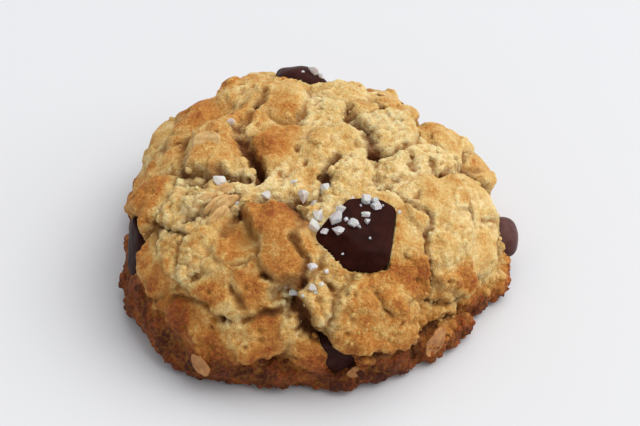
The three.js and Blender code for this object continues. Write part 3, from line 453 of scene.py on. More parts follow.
def half_section():
    """Radius, height, arc and weighted area along the half section, crown to underside."""
    half = WIDTH / 2
    foot = half - FOOT_INSET
    turn = np.linspace(0, math.pi / 2, CROWN_STEPS + 1)
    crown_height = (HEIGHT - WAIST_HEIGHT) * np.clip(np.cos(turn), 0, 1) ** (2 / CROWN_FULLNESS)
    crown_radius = half * np.sin(turn) ** (2 / CROWN_FLATNESS)
    turn = np.linspace(0, math.pi / 2, FOOT_STEPS + 1)[1:]
    foot_radius = foot + FOOT_INSET * np.clip(np.cos(turn), 0, 1) ** (2 / FOOT_ROUNDNESS)
    foot_height = WAIST_HEIGHT * (1 - np.sin(turn) ** (2 / FOOT_ROUNDNESS))
    under_radius = foot * np.linspace(1, 0, FOOT_STEPS + 1)[1:]
    radius = np.concatenate([crown_radius, foot_radius, under_radius])
    height = np.concatenate([WAIST_HEIGHT + crown_height, foot_height, 0 * under_radius])
    step = np.hypot(np.diff(radius), np.diff(height))
    share = np.where(np.arange(len(step)) < CROWN_STEPS + FOOT_STEPS, 1, UNDERSIDE_SHARE)
    middle = (radius[1:] + radius[:-1]) / 2
    return {
        "radius": radius,
        "height": height,
        "arc": np.concatenate([[0], np.cumsum(step)]),
        "area": np.concatenate([[0], np.cumsum(step * middle * share)]),
    }


SECTION = half_section()
WAIST_ARC = SECTION["arc"][CROWN_STEPS]
FOOT_ARC = SECTION["arc"][CROWN_STEPS + FOOT_STEPS]


def outline(angle, height):
    """How far the cookie reaches at an azimuth and a height, as a share of a round one's reach."""
    factor = np.ones_like(angle)
    for count, share, azimuth in OUTLINE_LOBES:
        factor = factor + share * np.cos(count * (angle - math.radians(azimuth)))
    low = np.clip((FOOT_LOBE["above"] - height) / (FOOT_LOBE["above"] - FOOT_LOBE["full"]), 0, 1)
    lobe = FOOT_LOBE["share"] * np.cos(angle - math.radians(FOOT_LOBE["azimuth"]))
    return factor * (1 + low * lobe)


def smooth_places(angle, arc):
    """Points on the smooth form and their outward directions, level under the waist."""
    angle = np.asarray(angle, float)
    arc = np.asarray(arc, float)
    radius = np.interp(arc, SECTION["arc"], SECTION["radius"])
    height = np.interp(arc, SECTION["arc"], SECTION["height"])
    radius = radius * outline(angle, height)
    segment = np.clip(np.searchsorted(SECTION["arc"], arc, "right") - 1, 0, len(SECTION["arc"]) - 2)
    run = np.diff(SECTION["arc"])[segment]
    outward = -np.diff(SECTION["height"])[segment] / run
    upward = np.diff(SECTION["radius"])[segment] / run
    level = arc >= WAIST_ARC
    outward = np.where(level, 1, outward)
    upward = np.where(level, 0, upward)
    points = np.stack([radius * np.cos(angle), radius * np.sin(angle), height], -1)
    normals = np.stack([outward * np.cos(angle), outward * np.sin(angle), upward], -1)
    return points, normals / np.linalg.norm(normals, axis=-1, keepdims=True)


def place_on(azimuth, arc):
    """One point and its outward direction on the smooth form."""
    points, normals = smooth_places(np.array([math.radians(azimuth)]), np.array([float(arc)]))
    return points[0], normals[0]


# ---------- The crust ----------


def all_plates():
    """Centre, downhill way, rise, reach, toast and crumb of each plate, fillers last."""
    plates = []

    def lay(azimuth, arc, rise, reach, toast, crumb):
        downhill = place_on(azimuth, arc + 1)[0] - place_on(azimuth, arc)[0]
        plates.append((place_on(azimuth, arc)[0], downhill, rise, reach, toast, crumb))

    for values in PLATES.values():
        lay(*values)
    for i in range(FILLER_COUNT):
        azimuth = i * GOLDEN_TURN
        arc = FOOT_ARC * math.sqrt((i + 0.5) / FILLER_COUNT)
        centre = place_on(azimuth, arc)[0]
        if all(np.linalg.norm(centre - plate[0]) > FILLER_SPACING for plate in plates):
            rise, reach, toast, crumb = (random_at(i, n, n + 1, FILLER_SEED) for n in (1, 2, 3, 4))
            lay(azimuth, arc, FILLER_RISE * rise, reach, between(FILLER_TOAST, toast), crumb)
    return [np.array(column, float) for column in zip(*plates)]


def ragged(points):
    """The points moved by noise, so that rims and splits run ragged."""
    moved = [
        RAGGEDNESS * noise(points, RAGGED_LENGTH, 11 + axis)
        + FRAY * noise(points, FRAY_LENGTH, 14 + axis)
        + FINE_FRAY * noise(points, FINE_FRAY_LENGTH, 17 + axis)
        for axis in range(3)
    ]
    return points + np.stack(moved, -1)


def plate_relief(points, frayed):
    """Relief of the plates with their rims, and how toasted and crumbly each point is."""
    centres, downhills, rises, reaches, toasts, crumbs = all_plates()
    away = frayed[:, None, :] - centres
    distances = np.linalg.norm(away, axis=2) - reaches
    one, other = np.argpartition(distances, 1, axis=1)[:, :2].T
    rows = np.arange(len(points))
    nearest = np.minimum(distances[rows, one], distances[rows, other])
    second = np.maximum(distances[rows, one], distances[rows, other])
    step = np.abs(rises[one] - rises[other])
    opening = np.clip(PARTING * step + CRACK_SWING * noise(points, CRACK_PATCH, 41), 0, 1)
    ledge = LEDGE_WIDTH * (1 + CLOSED_LEDGE * (1 - opening))
    weights = np.exp((nearest[:, None] - distances) / ledge[:, None])
    weights /= weights.sum(1, keepdims=True)
    heights = RISE_SCALE * rises + SHINGLE * np.einsum("pnc,nc->pn", away, downhills)
    rim = (second - nearest) / 2
    towards_higher = (distances[rows, other] - distances[rows, one]) * np.sign(rises[one] - rises[other])
    on_higher = 1 / (1 + np.exp(-towards_higher / ledge))
    valley = CLOSED_SWELL + (1 - CLOSED_SWELL) * opening
    valley *= 1 - EDGE_KEPT * np.clip(step, 0, 1) * on_higher
    swell = PLATE_SWELL * (1 - valley * np.exp(-rim / PLATE_SWELL_WIDTH))
    crack = CRACK_DEPTH * opening * np.exp(-((rim / CRACK_WIDTH) ** 2))
    relief = (weights * heights).sum(1) + swell - crack
    return relief, weights @ toasts, smoothstep(weights @ crumbs, *CRUMBLY), crack, rim


def flake_relief(points):
    """Relief of the oat flakes under the crust."""
    relief = np.zeros(len(points))
    for i in range(FLAKE_COUNT):
        stray, longer, higher, steeper = (random_at(i, 5, n, FLAKE_SEED) for n in (1, 2, 3, 4))
        share = (i + 0.5 * stray) / FLAKE_COUNT
        centre, normal = place_on(i * GOLDEN_TURN + FLAKE_TURN, FOOT_ARC * math.sqrt(share))
        across = np.cross(normal, (math.cos(i), math.sin(i), 0.3))
        across /= np.linalg.norm(across)
        along = np.cross(normal, across)
        length = between(FLAKE_LENGTHS, longer)
        u = (points - centre) @ across * 2 / length
        v = (points - centre) @ along * 2 / length / FLAKE_PROPORTION
        radius = np.sqrt(u * u + v * v)
        slope = FLAKE_TILT * length / 2 * (2 * steeper - 1)
        face = between(FLAKE_RISES, higher) + slope * u
        relief = np.maximum(relief, face * (1 - smoothstep(radius, *FLAKE_EDGE)))
    return relief


def distance_to_way(points, way):
    """How far points are from a way over the smooth form, given by its places."""
    corners = [place_on(azimuth, arc)[0] for azimuth, arc in way]
    nearest = np.full(len(points), np.inf)
    for start, end in zip(corners, corners[1:]):
        along = np.clip((points - start) @ (end - start) / ((end - start) @ (end - start)), 0, 1)
        foot = start + along[:, None] * (end - start)
        nearest = np.minimum(nearest, np.linalg.norm(points - foot, axis=1))
    return nearest


def dip_relief(points, frayed):
    """Relief of the splits and pits, with steep sides and round floors."""
    relief = np.zeros(len(frayed))
    mean_depth, swing = CREVICE_DEPTHS
    depth_here = mean_depth + swing * noise(points, CREVICE_PATCH, 43)
    for depth, width, way in CREVICES.values():
        relief -= depth * depth_here * np.exp(-((distance_to_way(frayed, way) / width) ** 3))
    for azimuth, arc, depth, width in PITS.values():
        away = np.linalg.norm(frayed - place_on(azimuth, arc)[0], axis=1)
        relief -= depth * np.exp(-((away / width) ** 3))
    return relief


def lump_relief(points, crumb):
    """Relief of the waves and lumps of the dough, lumpier where it is crumbly."""
    relief = sum(height * noise(points, length, seed) for length, height, seed in WAVES)
    for spacing, height, smooth_share, seed in LUMPS:
        away = nearest_points(points, spacing, seed)[0]
        here = height * (smooth_share + (1 - smooth_share) * crumb)
        relief += here * (1 - 2 * np.minimum(1, away) ** 2)
    return relief


def kept_to_rims(points, relief):
    """Relief that settles to a chunk's rim near the chunk."""
    for chunk in CHUNKS.values():
        bare = place_on(chunk["azimuth"], chunk["arc"] + chunk["bared"])[0]
        away = np.linalg.norm(points - bare, axis=1)
        own = smoothstep(away, chunk["reach"], chunk["reach"] + RIM_SLOPE)
        relief = chunk["rim"] + (relief - chunk["rim"]) * own
    return relief


def crust_places(angle, arc):
    """The crust's real surface above places on the smooth form, with what its colours need."""
    points, normals = smooth_places(angle, arc)
    frayed = ragged(points)
    plates, toast, crumb, crack, rim = plate_relief(points, frayed)
    dips = dip_relief(points, frayed)
    flakes = flake_relief(points + FLAKE_FRAY * (frayed - points))
    relief = plates + dips + flakes + lump_relief(points, crumb)
    relief = kept_to_rims(points, relief - RELIEF_LEVEL)
    under = smoothstep(arc, FOOT_ARC, FOOT_ARC + UNDERSIDE_FADE)
    places = points + normals * (relief * (1 - under))[:, None]
    places[:, 2] = np.maximum(0, places[:, 2])
    hollow = np.clip((crack - dips) / HOLLOW_DEPTH, 0, 1)
    return places, {"toast": toast, "crumb": crumb, "hollow": hollow, "rim": np.minimum(rim, RIM_NOTED)}


def crust_place(azimuth, arc):
    """One point of the crust's real surface, and the smooth form's outward direction there."""
    angle = np.array([math.radians(azimuth)])
    return crust_places(angle, np.array([float(arc)]))[0][0], place_on(azimuth, arc)[1]


# ---------- Working on meshes ----------


def take_up(piece):
    """Makes a piece the only selected and active one."""
    bpy.ops.object.select_all(action="DESELECT")
    piece.select_set(True)
    bpy.context.view_layer.objects.active = piece


def added(name):
    """The object that the last operator added, under its own name."""
    piece = bpy.context.object
    piece.name = name
    piece.data.name = name
    return piece


def vertices_of(piece, key="co"):
    values = np.empty(len(piece.data.vertices) * 3)
    piece.data.vertices.foreach_get(key, values)
    return values.reshape(-1, 3)


def set_vertices(piece, places):
    piece.data.vertices.foreach_set("co", np.asarray(places, float).ravel())
    piece.data.update()


def set_attribute(piece, name, values):
    attribute = piece.data.attributes.get(name) or piece.data.attributes.new(name, "FLOAT", "POINT")
    attribute.data.foreach_set("value", np.asarray(values, np.float32))


def attribute_of(piece, name):
    values = np.empty(len(piece.data.vertices), np.float32)
    piece.data.attributes[name].data.foreach_get("value", values)
    return values


def apply_modifier(piece, kind, **settings):
    take_up(piece)
    modifier = piece.modifiers.new(kind.title(), kind)
    for key, value in settings.items():
        setattr(modifier, key, value)
    bpy.ops.object.modifier_apply(modifier=modifier.name)


def join(pieces, name):
    bpy.ops.object.select_all(action="DESELECT")
    for piece in pieces:
        piece.select_set(True)
    bpy.context.view_layer.objects.active = pieces[0]
    bpy.ops.object.join()
    return added(name)


def shade_smooth(piece):
    take_up(piece)
    bpy.ops.object.shade_smooth()


def finish_piece(piece, material, stands_for=()):
    piece.data.materials.clear()
    piece.data.materials.append(material)
    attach(piece, "root")
    if stands_for:
        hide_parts(*stands_for)
    return piece


def seat(point, normal, depth, turn, lean):
    """Matrix in mm of a thing that lies on the crust: z along the normal, x level."""
    up = Vector(normal)
    across = Vector((-up.y, up.x, 0)).normalized()
    along = up.cross(across)
    basis = Matrix((across, along, up)).transposed().to_4x4()
    place = Matrix.Translation(Vector(point) - up * depth)
    leaning = Matrix.Rotation(math.radians(lean), 4, "X")
    return place @ basis @ leaning @ Matrix.Rotation(math.radians(turn), 4, "Z")


def placed(shape, matrix):
    """Points in mm moved by a matrix."""
    turned = np.array(matrix.to_3x3())
    return shape @ turned.T + np.array(matrix.translation)


# ---------- Dough ----------


def quad_ball(name):
    """A ball of even quads, its vertices on the unit sphere."""
    bpy.ops.object.select_all(action="DESELECT")
    bpy.ops.mesh.primitive_cube_add(size=2)
    ball = added(name)
    bpy.ops.object.mode_set(mode="EDIT")
    bpy.ops.mesh.select_all(action="SELECT")
    bpy.ops.mesh.subdivide(number_cuts=SPHERE_CUTS)
    bpy.ops.mesh.subdivide(number_cuts=SPHERE_CUTS)
    bpy.ops.object.mode_set(mode="OBJECT")
    spread = np.tan(vertices_of(ball) * math.pi / 4)
    set_vertices(ball, spread / np.linalg.norm(spread, axis=1, keepdims=True))
    return ball


def sculpted_dough():
    """The dough's form with its plates, splits and lumps, before the pockets are cut."""
    dough = quad_ball("dough_crust")
    ball = vertices_of(dough)
    angle = np.arctan2(ball[:, 1], ball[:, 0])
    share = np.clip((1 - ball[:, 2]) / 2, 0, 1)
    arc = np.interp(share * SECTION["area"][-1], SECTION["area"], SECTION["arc"])
    places, facts = crust_places(angle, arc)
    set_vertices(dough, places * MM)
    for name, values in facts.items():
        set_attribute(dough, name, values)
    return dough


def chunk_fullness(points, chunk, extra=0.0):
    """Below 1 inside a chunk that is grown by `extra`, above 1 outside it."""
    faces = [((math.cos(math.radians(turn)), math.sin(math.radians(turn)), 0), distance)
             for turn, distance in chunk["sides"]]
    for turn, rise, distance in chunk["slants"]:
        turn, rise = math.radians(turn), math.radians(rise)
        normal = (math.cos(turn) * math.cos(rise), math.sin(turn) * math.cos(rise), math.sin(rise))
        faces.append((normal, distance))
    faces.append(((0, 0, 1), chunk["top"]))
    faces.append(((0, 0, -1), chunk["bottom"]))
    total = np.zeros(len(points))
    for normal, distance in faces:
        total += (np.maximum(0, points @ np.array(normal)) / (distance + extra)) ** chunk["rounding"]
    return total


def chunk_shape(directions, chunk, extra=0.0):
    """Points of a chunk with rounded edges along unit directions, grown by `extra`."""
    return directions * (chunk_fullness(directions, chunk, extra) ** (-1 / chunk["rounding"]))[:, None]


def chunk_height(chunk, across, along):
    """Height of a chunk's upper side above its middle, at a place across and up it."""
    heights = np.linspace(0, chunk["top"], HEIGHT_TRIES)
    column = np.stack([np.full(HEIGHT_TRIES, across), np.full(HEIGHT_TRIES, along), heights], -1)
    return heights[np.argmax(np.cumsum(chunk_fullness(column, chunk) <= 1))]


def chunk_seat(chunk):
    point, normal = place_on(chunk["azimuth"], chunk["arc"])
    return seat(point, normal, chunk["sunk"], chunk["turn"], chunk["lean"])


def cut_pockets(dough):
    """Cuts the room of the chunks out of the dough."""
    cutters = []
    for chunk in CHUNKS.values():
        bpy.ops.mesh.primitive_ico_sphere_add(subdivisions=5, radius=1)
        cutter = added("pocket")
        shape = chunk_shape(vertices_of(cutter), chunk, POCKET_CLEARANCE) + np.array([*chunk["slip"], 0])
        set_vertices(cutter, placed(shape, chunk_seat(chunk)) * MM)
        cutters.append(cutter)
    cutter = join(cutters, "pockets")
    apply_modifier(dough, "BOOLEAN", operation="DIFFERENCE", solver="MANIFOLD", object=cutter)
    bpy.data.objects.remove(cutter)


def remesh_evenly(dough):
    take_up(dough)
    dough.data.remesh_voxel_size = DOUGH_VOXEL * MM
    dough.data.use_remesh_preserve_attributes = True
    bpy.ops.object.voxel_remesh()


def note_dents(dough):
    """Stores how far each point lies under its surroundings, near and wide, in mm."""
    edges = np.empty(len(dough.data.edges) * 2, np.int64)
    dough.data.edges.foreach_get("vertices", edges)
    ends = np.concatenate([edges.reshape(-1, 2), edges.reshape(-1, 2)[:, ::-1]])
    places = vertices_of(dough) / MM
    normals = vertices_of(dough, "normal")
    count = np.bincount(ends[:, 0], minlength=len(places))
    smoothed = places
    done = 0
    for name, rounds in DENT_ROUNDS.items():
        for _ in range(rounds - done):
            total = [
                np.bincount(ends[:, 0], smoothed[ends[:, 1], axis], len(places)) for axis in range(3)
            ]
            smoothed = np.stack(total, 1) / count[:, None]
        done = rounds
        set_attribute(dough, name, ((smoothed - places) * normals).sum(1))


def fill_underside(dough):
    """Makes the flat underside one plain face."""
    low = vertices_of(dough)[:, 2] < UNDERSIDE_LEVEL * MM
    faces = np.empty(len(dough.data.polygons) * 4, np.int32)
    dough.data.polygons.foreach_get("vertices", faces)
    flat = low[faces.reshape(-1, 4)].all(1)
    dough.data.polygons.foreach_set("select", flat)
    dough.data.edges.foreach_set("select", np.zeros(len(dough.data.edges), bool))
    dough.data.vertices.foreach_set("select", np.zeros(len(dough.data.vertices), bool))
    take_up(dough)
    bpy.ops.object.mode_set(mode="EDIT")
    bpy.ops.mesh.select_mode(type="FACE")
    bpy.ops.mesh.dissolve_faces()
    bpy.ops.mesh.select_all(action="DESELECT")
    bpy.ops.object.mode_set(mode="OBJECT")


def crumb_relief(points, crumb, hollow):
    """The fine crumb of the crust: clods, torn ridges, grains and pores, weaker where smooth."""
    fray = np.stack([noise(points, CRUMB_FRAY["length"], 55 + axis) for axis in range(3)], -1)
    fray *= CRUMB_FRAY["reach"]
    first, second, tall = nearest_points(points + fray, CLODS["size"], 51)
    clods = between(CLODS["heights"], tall) * smoothstep(second - first, *CLODS["rim"])
    grains = 1 - 2 * np.minimum(1, nearest_points(points, GRAINS["size"], 52)[0]) ** 2
    torn = 1 - 2 * np.abs(noise(points, TORN["length"], 53))
    away, _, owner = nearest_points(points, PORES["spacing"], 54)
    width = between(PORES["widths"], owner)
    pores = np.exp(-((away * PORES["spacing"] / width) ** 2)) * (owner < PORES["share"])
    first, second, tall = nearest_points(points + LOBES["fray"] * fray, LOBES["size"], 57)
    lobes = between(LOBES["heights"], tall) * smoothstep(second - first, *LOBES["rim"])
    rough = ROUGH["least"] + ROUGH["crumb"] * crumb + ROUGH["hollow"] * hollow
    rough = np.clip(rough, 0, ROUGH["most"])
    low = 1 - smoothstep(points[:, 2], *FOOT_HEIGHTS)
    clod_height = CLODS["rough"] * rough + CLODS["foot"] * low
    grain_height = GRAINS["everywhere"] + GRAINS["rough"] * rough + GRAINS["foot"] * low
    relief = clod_height * clods + TORN["rough"] * rough * torn + grain_height * grains
    return relief + LOBES["foot"] * low * lobes - PORES["depth"] * pores


def roughen(dough):
    places = vertices_of(dough) / MM
    normals = vertices_of(dough, "normal")
    fine = crumb_relief(places, attribute_of(dough, "crumb"), attribute_of(dough, "hollow"))
    fine *= smoothstep(places[:, 2], *FLOOR_FADE)
    places = places + normals * fine[:, None]
    places[places[:, 2] < FLOOR_SNAP, 2] = 0
    set_vertices(dough, places * MM)


def dough_crust(material):
    dough = sculpted_dough()
    cut_pockets(dough)
    remesh_evenly(dough)
    roughen(dough)
    note_dents(dough)
    fill_underside(dough)
    shade_smooth(dough)
    return finish_piece(dough, material, ["dough"])


def crumb_clod():
    """One clod of 24 faces, about 1 across."""
    bpy.ops.mesh.primitive_cube_add(size=2)
    clod = added("clod")
    bpy.ops.object.mode_set(mode="EDIT")
    bpy.ops.mesh.select_all(action="SELECT")
    bpy.ops.mesh.subdivide(number_cuts=1)
    bpy.ops.object.mode_set(mode="OBJECT")
    shape = vertices_of(clod)
    set_vertices(clod, shape / np.linalg.norm(shape, axis=1, keepdims=True) ** CRUMBS["rounded"] / 2)
    shade_smooth(clod)
    return clod


def loose_crumbs(dough, material):
    """Clods of crumb, half sunk, where the crust is crumbly and along its splits."""
    rng = np.random.default_rng(CRUMBS["seed"])
    places = vertices_of(dough) / MM
    normals = vertices_of(dough, "normal")
    browned = attribute_of(dough, "browned")
    liking = attribute_of(dough, "crumb") ** CRUMBS["gathering"]
    liking = np.clip(liking + CRUMBS["hollows"] * attribute_of(dough, "hollow"), 0, 1)
    liking *= smoothstep(places[:, 2], *CRUMBS["heights"])
    sites = rng.choice(len(places), CRUMBS["count"], replace=False, p=liking / liking.sum())
    first = crumb_clod()
    clods = []
    for i, site in enumerate(sites):
        clod = first.copy()
        clod.data = first.data.copy()
        bpy.context.scene.collection.objects.link(clod)
        size = between(CRUMBS["sizes"], rng.random() ** CRUMBS["rarity"])
        shape = vertices_of(clod) * rng.uniform(*CRUMBS["proportions"], 3) * size
        shape *= (1 + CRUMBS["uneven"][0] * noise(shape / size + i, CRUMBS["uneven"][1], 91))[:, None]
        matrix = seat(places[site], normals[site], CRUMBS["sunk"] * size, 360 * rng.random(), 0)
        set_vertices(clod, placed(shape, matrix) * MM)
        shade = between(CRUMBS["shades"], rng.random())
        set_attribute(clod, "browned", np.full(len(shape), browned[site] + shade))
        clods.append(clod)
    bpy.data.objects.remove(first)
    return finish_piece(join(clods, "loose_crumbs"), material)


# ---------- Chocolate ----------


def chocolate_chunk(name, chunk, material):
    bpy.ops.mesh.primitive_ico_sphere_add(subdivisions=6, radius=1)
    piece = added(f"{name}_chocolate")
    shape = chunk_shape(vertices_of(piece), chunk)
    waves = sum(share * noise(shape, length, seed) for length, share, seed in CHOCOLATE_WAVES)
    shape = shape * (1 + waves)[:, None]
    set_vertices(piece, placed(shape, chunk_seat(chunk)) * MM)
    set_attribute(piece, "bloom_and_sheen", np.full(len(shape), chunk["bloom_and_sheen"]))
    shade_smooth(piece)
    return finish_piece(piece, material, [name])


# ---------- Salt ----------


def salt_crystal(length, seed):
    """A broken crystal: a block whose corners are struck off at all angles."""
    rng = np.random.default_rng(seed)
    bpy.ops.mesh.primitive_cube_add(size=2)
    crystal = added("crystal")
    bpy.ops.object.mode_set(mode="EDIT")
    for _ in range(CRYSTAL_CUTS):
        bpy.ops.mesh.select_all(action="SELECT")
        normal = rng.normal(size=3)
        normal /= np.linalg.norm(normal)
        place = normal * rng.uniform(*CRYSTAL_CUT_REACH)
        bpy.ops.mesh.bisect(plane_co=place, plane_no=normal, use_fill=True, clear_outer=True)
    bpy.ops.mesh.select_all(action="SELECT")
    bpy.ops.mesh.bevel(offset=CRYSTAL_BEVEL, segments=1, affect="EDGES")
    bpy.ops.object.mode_set(mode="OBJECT")
    shape = vertices_of(crystal)
    lowest, highest = shape.min(0), shape.max(0)
    shape = (shape - (lowest + highest) / 2) / (highest - lowest) * 2
    set_vertices(crystal, shape * np.array(SALT_PROPORTION) * length * rng.uniform(*CRYSTAL_SPREAD, 3))
    return crystal


def lay_crystal(length, seed, point, normal):
    """A crystal that lies on a point, turned about the normal and slightly tipped."""
    crystal = salt_crystal(length, seed)
    depth = length * SALT_PROPORTION[2] * (2 * SALT_SUNK - 1)
    turn, tip = (random_at(seed, n, 1, CRYSTAL_SEED) for n in (1, 2))
    matrix = seat(point, normal, depth, 360 * turn, CRYSTAL_TIP * (2 * tip - 1))
    set_vertices(crystal, placed(vertices_of(crystal), matrix) * MM)
    return crystal


def salt_crystals(material):
    crystals = []
    for i, (azimuth, arc, length) in enumerate(SALT_ON_DOUGH):
        crystals.append(lay_crystal(length, FIRST_SEEDS["dough"] + i, *crust_place(azimuth, arc)))
    for name, places in SALT_ON_CHUNKS.items():
        chunk = CHUNKS[name]
        matrix = chunk_seat(chunk)
        upward = np.array(matrix.to_3x3())[:, 2]
        for i, (across, along, length) in enumerate(places):
            top = np.array([[across, along, chunk_height(chunk, across, along)]])
            seed = FIRST_SEEDS["chunks"] + i + len(name)
            crystals.append(lay_crystal(length, seed, placed(top, matrix)[0], upward))
    return finish_piece(join(crystals, "salt_crystals"), material)


# ---------- Oats ----------


def oat_flake(length, shift):
    """A rolled oat: an oval flake with a crease along it, wavy and torn at its edge."""
    bpy.ops.mesh.primitive_uv_sphere_add(segments=36, ring_count=14, radius=1)
    flake = added("flake")
    shape = vertices_of(flake)
    ragged_edge = 1 + OAT_EDGE[0] * noise(shape + shift, OAT_EDGE[1], 81)
    shape[:, :2] *= ragged_edge[:, None]
    along, across = shape[:, 0], shape[:, 1]
    crease = np.exp(-((across / OAT_CREASE["width"]) ** 2))
    crease *= 1 - smoothstep(np.abs(along), *OAT_CREASE["ends"])
    ribs = OAT_RIBS[0] * np.cos(across * OAT_RIBS[1])
    bend = OAT_BEND[1] * across**2 + OAT_BEND[0] * along**2
    bend += OAT_WAVES[0] * noise(shape + shift, OAT_WAVES[1], 82)
    shape[:, 2] += ribs - OAT_CREASE["depth"] * crease - bend
    shape *= np.array(OAT_PROPORTION) * length
    set_vertices(flake, shape)
    return flake


def oat_flakes(material):
    flakes = []
    for i, (azimuth, arc, length, turn, tilt) in enumerate(OATS):
        flake = oat_flake(length, OAT_SHIFT * i)
        point, normal = crust_place(azimuth, arc)
        low = 1 - smoothstep(point[2], *FOOT_HEIGHTS)
        tilted = Matrix.Rotation(math.radians(tilt), 4, "X")
        matrix = seat(point, normal, -between(OAT_LIFTS, low), turn, 0) @ tilted
        set_vertices(flake, placed(vertices_of(flake), matrix) * MM)
        set_attribute(flake, "browned", np.full(len(flake.data.vertices), between(OAT_SHADES, low)))
        flakes.append(flake)
    piece = join(flakes, "oat_flakes")
    shade_smooth(piece)
    return finish_piece(piece, material)


# ---------- Materials ----------


def srgb(red, green, blue):
    """A colour as a photograph gives it, 0 to 255, made linear."""
    shares = [c / 255 for c in (red, green, blue)]
    return (*[s / 12.92 if s <= 0.04045 else ((s + 0.055) / 1.055) ** 2.4 for s in shares], 1.0)


GRAIN_INPUTS = ("Vector", "Scale", "Detail", "Roughness")


def grain_group():
    """Node group of an even grain, 0 to 1, which all of the cookie's materials use."""
    group = bpy.data.node_groups.new("grain", "ShaderNodeTree")
    for name in GRAIN_INPUTS:
        kind = "NodeSocketVector" if name == "Vector" else "NodeSocketFloat"
        group.interface.new_socket(name, in_out="INPUT", socket_type=kind)
    group.interface.new_socket("Grain", in_out="OUTPUT", socket_type="NodeSocketFloat")
    inside = group.nodes.new("NodeGroupInput")
    texture = group.nodes.new("ShaderNodeTexNoise")
    outside = group.nodes.new("NodeGroupOutput")
    for name in GRAIN_INPUTS:
        group.links.new(inside.outputs[name], texture.inputs[name])
    group.links.new(texture.outputs["Fac"], outside.inputs["Grain"])
    return group


GRAIN = grain_group()


class Finish:
    """A material while it is made. What feeds a socket is a value or another node's output."""

    def __init__(self, name):
        self.material = bpy.data.materials.new(name)
        self.material.use_nodes = True
        self.tree = self.material.node_tree
        self.shader = self.tree.nodes["Principled BSDF"]

    def node(self, kind, settings=None, **inputs):
        node = self.tree.nodes.new(f"ShaderNode{kind}")
        for key, value in (settings or {}).items():
            setattr(node, key, value)
        return self.feed(node, **inputs)

    def feed(self, node, **inputs):
        for name, value in inputs.items():
            self.feed_socket(node.inputs[name.replace("_", " ")], value)
        return node

    def feed_socket(self, socket, value):
        if isinstance(value, bpy.types.NodeSocket):
            self.tree.links.new(value, socket)
        else:
            socket.default_value = value

    def coordinates(self):
        return self.node("TexCoord").outputs["Object"]

    def attribute(self, name):
        return self.node("Attribute", {"attribute_name": name}).outputs["Fac"]

    def grain(self, scale, detail, roughness=0.55):
        node = self.node("Group", {"node_tree": GRAIN}, Vector=self.coordinates())
        return self.feed(node, Scale=scale, Detail=detail, Roughness=roughness).outputs["Grain"]

    def calculate(self, operation, *values, clamp=False):
        node = self.node("Math", {"operation": operation, "use_clamp": clamp})
        for socket, value in zip(node.inputs, values):
            self.feed_socket(socket, value)
        return node.outputs[0]

    def scaled(self, value, factor, offset):
        return self.calculate("MULTIPLY_ADD", value, factor, offset)

    def ramp(self, factor, *stops):
        node = self.node("ValToRGB", Fac=factor)
        elements = node.color_ramp.elements
        while len(elements) < len(stops):
            elements.new(0.5)
        for element, (position, colour) in zip(elements, stops):
            element.position = position
            element.color = colour
        return node.outputs["Color"]

    def mix(self, factor, first, second):
        node = self.node("Mix", {"data_type": "RGBA"})
        for index, value in ((0, factor), (6, first), (7, second)):
            self.feed_socket(node.inputs[index], value)
        return node.outputs[2]

    def bump(self, height, strength, distance):
        return self.node("Bump", Height=height, Strength=strength, Distance=distance).outputs["Normal"]


def dough_material():
    """Baked dough: golden where pale, dark brown at the foot, sandy all over, with painted shade in its
    dents, cracks and pits.
    """
    finish = Finish("baked dough")
    patches = finish.grain(scale=150, detail=3)
    spots = finish.grain(scale=480, detail=2)
    flecks = finish.grain(scale=1800, detail=3, roughness=0.8)
    browned = finish.attribute("browned")
    for grain, swing in ((patches, 0.6), (spots, 0.5), (flecks, 0.7)):
        uneven = finish.scaled(grain, factor=swing, offset=-swing / 2)
        browned = finish.calculate("ADD", browned, uneven)
    colour = finish.ramp(
        browned,
        (0.0, srgb(243, 221, 164)),
        (0.25, srgb(224, 184, 112)),
        (0.48, srgb(200, 134, 58)),
        (0.72, srgb(158, 80, 28)),
        (1.0, srgb(74, 29, 12)),
    )
    # Painted warm shade: dents are tinted orange-brown as if lit by light bounced inside them.
    colour = finish.mix(finish.attribute("warm_shade"), colour, srgb(190, 128, 56))
    # Painted shade: cracks and pits are darkened towards dark brown.
    colour = finish.mix(finish.attribute("hollow"), colour, srgb(114, 66, 28))
    sand = finish.node("TexVoronoi", Vector=finish.coordinates(), Scale=2100.0).outputs["Distance"]
    rough = finish.grain(scale=1300, detail=6, roughness=0.75)
    height = finish.scaled(sand, factor=-0.5, offset=rough)
    finish.feed(
        finish.shader,
        Base_Color=colour,
        Roughness=finish.scaled(flecks, factor=-0.4, offset=0.85),
        Normal=finish.bump(height, strength=1.0, distance=0.00055),
        Specular_IOR_Level=0.25,
        Subsurface_Weight=0.3,
        Subsurface_Scale=0.001,
        Subsurface_Radius=(0.85, 0.45, 0.2),
    )
    return finish.material


def chocolate_material():
    """Dark chocolate with a satin gloss, hazy where it has bloomed and where a painted sheen stands in
    for reflected light.
    """
    finish = Finish("dark chocolate")
    haze = finish.grain(scale=420, detail=5, roughness=0.65)
    waves = finish.grain(scale=600, detail=5)
    colour = finish.ramp(haze, (0.35, srgb(34, 12, 8)), (0.7, srgb(54, 22, 16)))
    # Greyish haze: real bloom, and on the front chunk a painted sheen.
    hazed_bloom_and_sheen = finish.calculate("MULTIPLY", finish.attribute("bloom_and_sheen"), haze, clamp=True)
    finish.feed(
        finish.shader,
        Base_Color=finish.mix(hazed_bloom_and_sheen, colour, srgb(150, 110, 106)),
        Roughness=finish.scaled(haze, factor=0.25, offset=0.26),
        Normal=finish.bump(waves, strength=0.5, distance=0.0003),
        Specular_IOR_Level=0.03,
    )
    return finish.material


